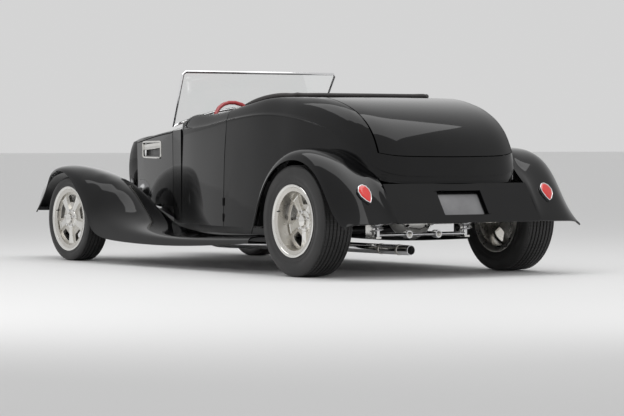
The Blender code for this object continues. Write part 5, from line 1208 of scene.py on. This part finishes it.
@dataclass(frozen=True)
class Bench:
    """A padded bench: a cushion and a back, with sewn channels."""

    shop: Workshop
    voxel: float = 0.006
    quick_voxel: float = 0.012
    cap: float = 0.012
    pressure: float = 4.0
    frames: int = 20
    channels: int = 9
    seam_depth: float = 0.007
    seam_start: float = 0.55
    fill: float = 0.8
    side_gap: float = 0.020
    swell: float = 0.012
    rake: float = -14.0
    cushion_length: float = 0.452
    cushion_height: float = 0.150
    cushion_x: float = -0.478
    cushion_rise: float = 0.080
    back_thickness: float = 0.125
    back_height: float = 0.490
    back_inset: float = 0.140
    back_drop: float = 0.270
    corner_radius: float = 0.030

    def build(self) -> None:
        """Build both pads in the space that the bench's solid holds."""
        low, high = (Vector(corner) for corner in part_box("bench_seat"))
        width = high.y - low.y - self.side_gap
        place = Matrix.Translation(Vector((self.cushion_x, 0, low.z + self.cushion_rise)))
        cushion = self.pad("seat_cushion", Vector((self.cushion_length, width, self.cushion_height)), place, "X")
        lean = Matrix.Rotation(math.radians(self.rake), 4, "Y")
        place = Matrix.Translation(Vector((low.x + self.back_inset, 0, high.z - self.back_drop))) @ lean
        upright = self.pad("seat_back", Vector((self.back_thickness, width, self.back_height)), place, "Z")
        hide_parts("bench_seat")

    def pad(self, name: str, size: Vector, place: Matrix, run: str) -> Object:
        """Return one pad with its channels.

        Args:
            name: The pad's name.
            size: Its length, width and height.
            place: Where its middle stands, and its turn.
            run: The axis that the channels run along.

        Returns:
            The pad.
        """
        bm = bmesh.new()
        block(bm, size - Vector((self.swell,) * 3), Matrix.Identity(4), self.corner_radius, 4)
        bmesh.ops.recalc_face_normals(bm, faces=bm.faces[:])
        bm = self.inflate(bm)
        self.sew(bm, size, run)
        bm.transform(place)
        return self.shop.publish(name, bm, "seat_leather", angle=180.0, levels=1)

    def inflate(self, bm: BMesh) -> BMesh:
        """Return a block remeshed evenly and swelled as a stuffed pad.

        Args:
            bm: The block, which is freed.

        Returns:
            The pad.
        """
        item = show("pad_blank", mesh_of("pad_blank", bm))
        remesh = item.modifiers.new("even", "REMESH")
        remesh.mode, remesh.voxel_size = "VOXEL", self.voxel
        bpy.context.view_layer.update()
        self.keep(item)
        rest = [vert.co.copy() for vert in item.data.vertices]
        self.simulate(item)
        self.limit(item.data, rest)
        swelled = bmesh.new()
        swelled.from_mesh(item.data)
        bpy.data.objects.remove(item)
        return swelled

    @staticmethod
    def keep(item: Object) -> None:
        """Make an object's present shape its own mesh, without modifiers.

        Args:
            item: The object.
        """
        graph = bpy.context.evaluated_depsgraph_get()
        mesh = bpy.data.meshes.new_from_object(item.evaluated_get(graph))
        item.modifiers.clear()
        item.data = mesh

    def simulate(self, item: Object) -> None:
        """Swell an object with cloth under pressure, and keep the last shape.

        Args:
            item: The object.
        """
        cloth = item.modifiers.new("swell", "CLOTH")
        cloth.settings.use_pressure = True
        cloth.settings.uniform_pressure_force = self.pressure
        cloth.settings.effector_weights.gravity = 0.0
        cloth.settings.quality = 3
        scene = bpy.context.scene
        for step in range(1, self.frames + 1):
            scene.frame_set(step)
        self.keep(item)
        scene.frame_set(1)

    def limit(self, mesh: Mesh, rest: Sequence[Vector]) -> None:
        """Keep every point within the cap of where it began.

        Args:
            mesh: The swelled mesh.
            rest: Where its points began.
        """
        for vert, start in zip(mesh.vertices, rest):
            gap = vert.co - start
            if gap.length > self.cap:
                vert.co = start + gap.normalized() * self.cap

    def sew(self, bm: BMesh, size: Vector, run: str) -> None:
        """Draw the faces in along the channels' seams.

        Args:
            bm: The pad's mesh about the origin.
            size: The pad's size.
            run: The axis that the channels run along.
        """
        pitch = size.y / self.channels
        bm.normal_update()
        for vert in bm.verts:
            share = abs((vert.co.y / pitch + self.channels / 2) % 1.0 - 0.5) * 2
            depth = self.seam_depth * max(0.0, (share - self.seam_start) / (1 - self.seam_start)) ** 2
            vert.co -= vert.normal * depth * abs(vert.normal.z if run == "X" else vert.normal.x)


@dataclass(frozen=True)
class SteeringWheel:
    """The steering wheel: a red grip on polished spokes."""

    shop: Workshop
    centre: Triple = (0.02761, 0.32, 0.915)
    axis: Triple = (-0.891, 0.0, 0.454)
    grip: float = 0.148
    reach: float = 0.3
    button: tuple[Pair, ...] = ((0.0, 0.0085), (0.012, 0.008), (0.020, 0.005), (0.0245, 0.0), (0.0, 0.0))

    def build(self) -> None:
        """Dress the wheel's solid in two finishes and add its horn button."""
        item = self.shop.publish("steering_wheel_grip", merged_copy("steering_wheel"), "wheel_grip",
                                 "steering_wheel", stands_for=("steering_wheel",))
        item.data.materials.append(self.shop.palette.materials["polished_alloy"])
        centre = Vector(self.centre)
        for face in item.data.polygons:
            face.material_index = 0 if (face.center - centre).length > self.grip else 1
        axis = Vector(self.axis).normalized()
        place, _ = skin_point("steering_wheel", centre + axis * self.reach, -axis)
        self.shop.publish("horn_button", turned(self.button, place, axis, 40), "bright_chrome", "steering_wheel")


@dataclass(frozen=True)
class Gauges:
    """Round dials across the dashboard."""

    shop: Workshop
    places: tuple[Triple, ...] = (
        (0.43, 0.815, 0.034), (0.25, 0.838, 0.026), (0.185, 0.845, 0.021),
    )
    seen_from: float = -0.16
    marks: int = 11
    sweep: float = 270.0
    pointer: float = -70.0
    rim: tuple[Pair, ...] = ((0.0, 0.0), (0.0, 0.005), (-0.002, 0.0075), (-0.005, 0.006), (-0.005, 0.0))
    face_inset: float = 0.0052
    face_rise: float = 0.0028
    sides: int = 48

    def build(self) -> None:
        """Build every dial."""
        for index, (y, z, radius) in enumerate(self.places, 1):
            place, normal = skin_point("dashboard", Vector((self.seen_from, y, z)), FORWARD)
            self.dial(f"gauge_{index}", place, normal.normalized(), radius)

    def dial(self, name: str, place: Vector, normal: Vector, radius: float) -> None:
        """Build one dial.

        Args:
            name: Its name.
            place: The middle of its foot on the dashboard.
            normal: Where it faces.
            radius: Its radius.
        """
        rim = [(radius + inward, rise) for inward, rise in self.rim]
        self.shop.publish(f"{name}_bezel", turned(rim, place, normal, self.sides, True), "bright_chrome")
        inner = radius - self.face_inset
        face = ((0.0, self.face_rise), (inner, self.face_rise), (inner, 0.0), (0.0, 0.0))
        self.shop.publish(f"{name}_face", turned(face, place, normal, self.sides), "dial_black")
        across = normal.cross(UP).normalized()
        up = across.cross(normal).normalized()
        turns = [self.sweep * (step / (self.marks - 1) - 0.5) for step in range(self.marks)]
        bars = [(turn, 0.82, 0.0031, Vector((inner * 0.16, 0.0014, 0.0006))) for turn in turns]
        bars.append((self.pointer, 0.32, 0.0036, Vector((inner * 0.75, 0.0016, 0.0008))))
        marks = bmesh.new()
        for turn, share, lift, size in bars:
            out = up * math.cos(math.radians(turn)) + across * math.sin(math.radians(turn))
            frame_of = Matrix((out, normal.cross(out), normal)).transposed().to_4x4()
            block(marks, size, Matrix.Translation(place + out * inner * share + normal * lift) @ frame_of)
        self.shop.publish(f"{name}_marks", marks, "dial_white")


# Running gear

@dataclass(frozen=True)
class RunningGear:
    """Springs, bolts and bands on the rear suspension and the exhaust."""

    shop: Workshop
    spring_x: float = -1.5526
    spring_y: float = 0.335
    spring_low: float = 0.262
    spring_high: float = 0.470
    spring_radius: float = 0.0375
    wire: float = 0.0052
    turns: float = 6.5
    link_eyes: tuple[Pair, ...] = ((0.107, 0.246), (-0.114, 0.246))
    bands: tuple[float, ...] = (-1.905, -1.72)
    pipe_z: float = 0.170
    pipe_radius: float = 0.030
    washer: Pair = (0.016, 0.004)
    bolt: Pair = (0.0095, 0.011)
    band: tuple[Pair, ...] = ((0.0296, -0.009), (0.0325, -0.009), (0.0325, 0.009), (0.0296, 0.009))
    bore_radius: float = 0.0262
    bore_y: float = 0.4209
    bore_ends: Pair = (-1.965, -1.955)

    def build(self) -> None:
        """Build every small piece."""
        for side in Side:
            self.spring(side)
        self.link_bolts()
        self.exhaust_bands()

    def spring(self, side: Side) -> None:
        """Build one coil spring.

        Args:
            side: Its side of the car.
        """
        count = int(self.turns * 20)
        path = []
        for step in range(count + 1):
            share = step / count
            angle = math.tau * self.turns * share
            path.append(Vector((self.spring_x + self.spring_radius * math.cos(angle),
                                side.value * self.spring_y + self.spring_radius * math.sin(angle),
                                self.spring_low + (self.spring_high - self.spring_low) * share)))
        self.shop.publish(f"coil_spring_{side.label}", sweep(path, self.wire, 8), "bright_chrome", angle=60.0)

    def link_bolts(self) -> None:
        """Build the bolt heads on the lateral link's eyes."""
        bm = bmesh.new()
        for y, z in self.link_eyes:
            place, _ = skin_point("rear_suspension", Vector((-2.3, y, z)), FORWARD)
            for (radius, out), sunk, sides in ((self.washer, 0.002, 24), (self.bolt, 0.0, 6)):
                barrel(bm, place + FORWARD * sunk, place - FORWARD * out, radius, sides, bevel=0.001)
        self.shop.publish("link_bolts", bm, "satin_alloy")

    def exhaust_bands(self) -> None:
        """Build the clamp bands and a dark plug in the tip, painted shade of the pipe's hollow."""
        bands = bmesh.new()
        for x in self.bands:
            place, _ = skin_point("exhaust", Vector((x, 1.4, self.pipe_z)), -LEFT)
            mesh = mesh_of("band", turned(self.band, place - LEFT * self.pipe_radius, FORWARD, 40, True))
            bands.from_mesh(mesh)
            bpy.data.meshes.remove(mesh)
        self.shop.publish("exhaust_bands", bands, "satin_alloy", bevel=0.0008)
        # A dark plug across the tip's bore: painted shade standing in for the pipe's hollow.
        painted_bore_shade = bmesh.new()
        barrel(painted_bore_shade, *(Vector((x, self.bore_y, self.pipe_z)) for x in self.bore_ends), self.bore_radius, 24)
        self.shop.publish("exhaust_bore", painted_bore_shade, "tread_rubber")


# Stage

@dataclass(frozen=True)
class Studio:
    """A pale floor, soft lamps and the photo's camera."""

    camera_place: Triple = (-15.4191, 10.1989, 0.8101)
    yaw: float = -34.1024
    pitch: float = -1.3496
    lens: float = 162.35
    sensor: float = 36.0
    floor_size: float = 160.0
    floor_colour: float = 0.66
    world_colour: float = 0.80
    world_strength: float = 1.0
    seen_colour: float = 0.66
    mirrored_power: float = 120.0
    # Name, place, target, length and width, power.
    lamps: tuple[tuple[str, Triple, Triple, Pair, float], ...] = (
        ("overhead_softbox", (-0.4, 0.3, 5.2), (0.0, 0.0, 0.5), (7.5, 4.2), 150.0),
        ("side_softbox", (-3.4, 6.2, 3.0), (-0.3, 0.4, 0.5), (4.6, 1.5), 110.0),
        ("tail_strip", (-7.2, 0.6, 2.2), (-1.6, 0.0, 0.6), (3.4, 0.9), 40.0),
    )

    def build(self) -> None:
        """Build the stage."""
        self.floor()
        self.world()
        for name, place, target, size, power in self.lamps:
            self.lamp(name, Vector(place), Vector(target), size, power)
        self.camera()

    def floor(self) -> None:
        """Lay the pale floor."""
        bm = bmesh.new()
        bmesh.ops.create_grid(bm, x_segments=1, y_segments=1, size=self.floor_size)
        item = show("studio_floor", mesh_of("studio_floor", bm))
        material = bpy.data.materials.new("studio_floor")
        material.use_nodes = True
        shader = material.node_tree.nodes["Principled BSDF"]
        shader.inputs["Base Color"].default_value = (self.floor_colour,) * 3 + (1.0,)
        shader.inputs["Roughness"].default_value = 0.75
        item.data.materials.append(material)

    def world(self) -> None:
        """Light the room evenly, and show a calmer grey to the camera and to mirroring surfaces."""
        world = bpy.data.worlds.new("studio_world")
        bpy.context.scene.world = world
        world.use_nodes = True
        nodes, links = world.node_tree.nodes, world.node_tree.links
        lit = nodes["Background"]
        lit.inputs["Color"].default_value = (self.world_colour,) * 3 + (1.0,)
        lit.inputs["Strength"].default_value = self.world_strength
        white = add_node(world.node_tree, "Background", Color=(self.seen_colour,) * 3 + (1.0,))
        path, mix = (add_node(world.node_tree, kind) for kind in ("LightPath", "MixShader"))
        seen = path.outputs["Is Camera Ray"]
        for label in ("Is Glossy Ray", "Is Transmission Ray"):
            larger = add_node(world.node_tree, "Math")
            larger.operation = "MAXIMUM"
            links.new(seen, larger.inputs[0])
            links.new(path.outputs[label], larger.inputs[1])
            seen = larger.outputs["Value"]
        links.new(seen, mix.inputs["Fac"])
        links.new(lit.outputs["Background"], mix.inputs[1])
        links.new(white.outputs["Background"], mix.inputs[2])
        links.new(mix.outputs["Shader"], nodes["World Output"].inputs["Surface"])

    def lamp(self, name: str, place: Vector, target: Vector, size: Pair, power: float) -> None:
        """Hang one area lamp.

        Args:
            name: Its name.
            place: Where it hangs.
            target: Where it points.
            size: Its length and width.
            power: Its power in watts.
        """
        data = bpy.data.lights.new(name, "AREA")
        data.shape, data.size, data.size_y, data.energy = "RECTANGLE", *size, power
        item = show(name, data)
        item.location = place
        item.rotation_euler = (target - place).to_track_quat("-Z", "Y").to_euler()
        item.visible_glossy = power > self.mirrored_power

    def camera(self) -> None:
        """Set the photo's camera."""
        data = bpy.data.cameras.new("photo_camera")
        data.lens, data.sensor_width = self.lens, self.sensor
        data.clip_end = 500.0
        item = show("photo_camera", data)
        item.location = self.camera_place
        yaw, pitch = math.radians(self.yaw), math.radians(self.pitch)
        ahead = Vector((math.cos(yaw) * math.cos(pitch), math.sin(yaw) * math.cos(pitch), math.sin(pitch)))
        item.rotation_euler = ahead.to_track_quat("-Z", "Y").to_euler()
        bpy.context.scene.camera = item


def clear_defaults() -> None:
    """Remove the default objects named Cube, Light and Camera."""
    for item in list(bpy.data.objects):
        if item.name in ("Cube", "Light", "Camera"):
            bpy.data.objects.remove(item)


def main() -> None:
    """Dress the whole car and set the stage."""
    logging.basicConfig(level=logging.INFO, format="%(name)s %(message)s")
    clear_defaults()
    bpy.context.scene.view_settings.view_transform = "Standard"
    shop = Workshop(Palette())
    PanelDresser(shop).build()
    SolidDresser(shop).build()
    for corner in Corner:
        Tyre(shop, corner).build()
        Wheel(shop, corner).build()
    for side in Side:
        for kind in (TailLamp, HoodVent, Headlamp):
            kind(shop, side).build()
    for kind in (Coaming, Plate, Bench, SteeringWheel, Gauges, RunningGear):
        kind(shop).build()
    Studio().build()


if __name__ == "__main__":
    main()
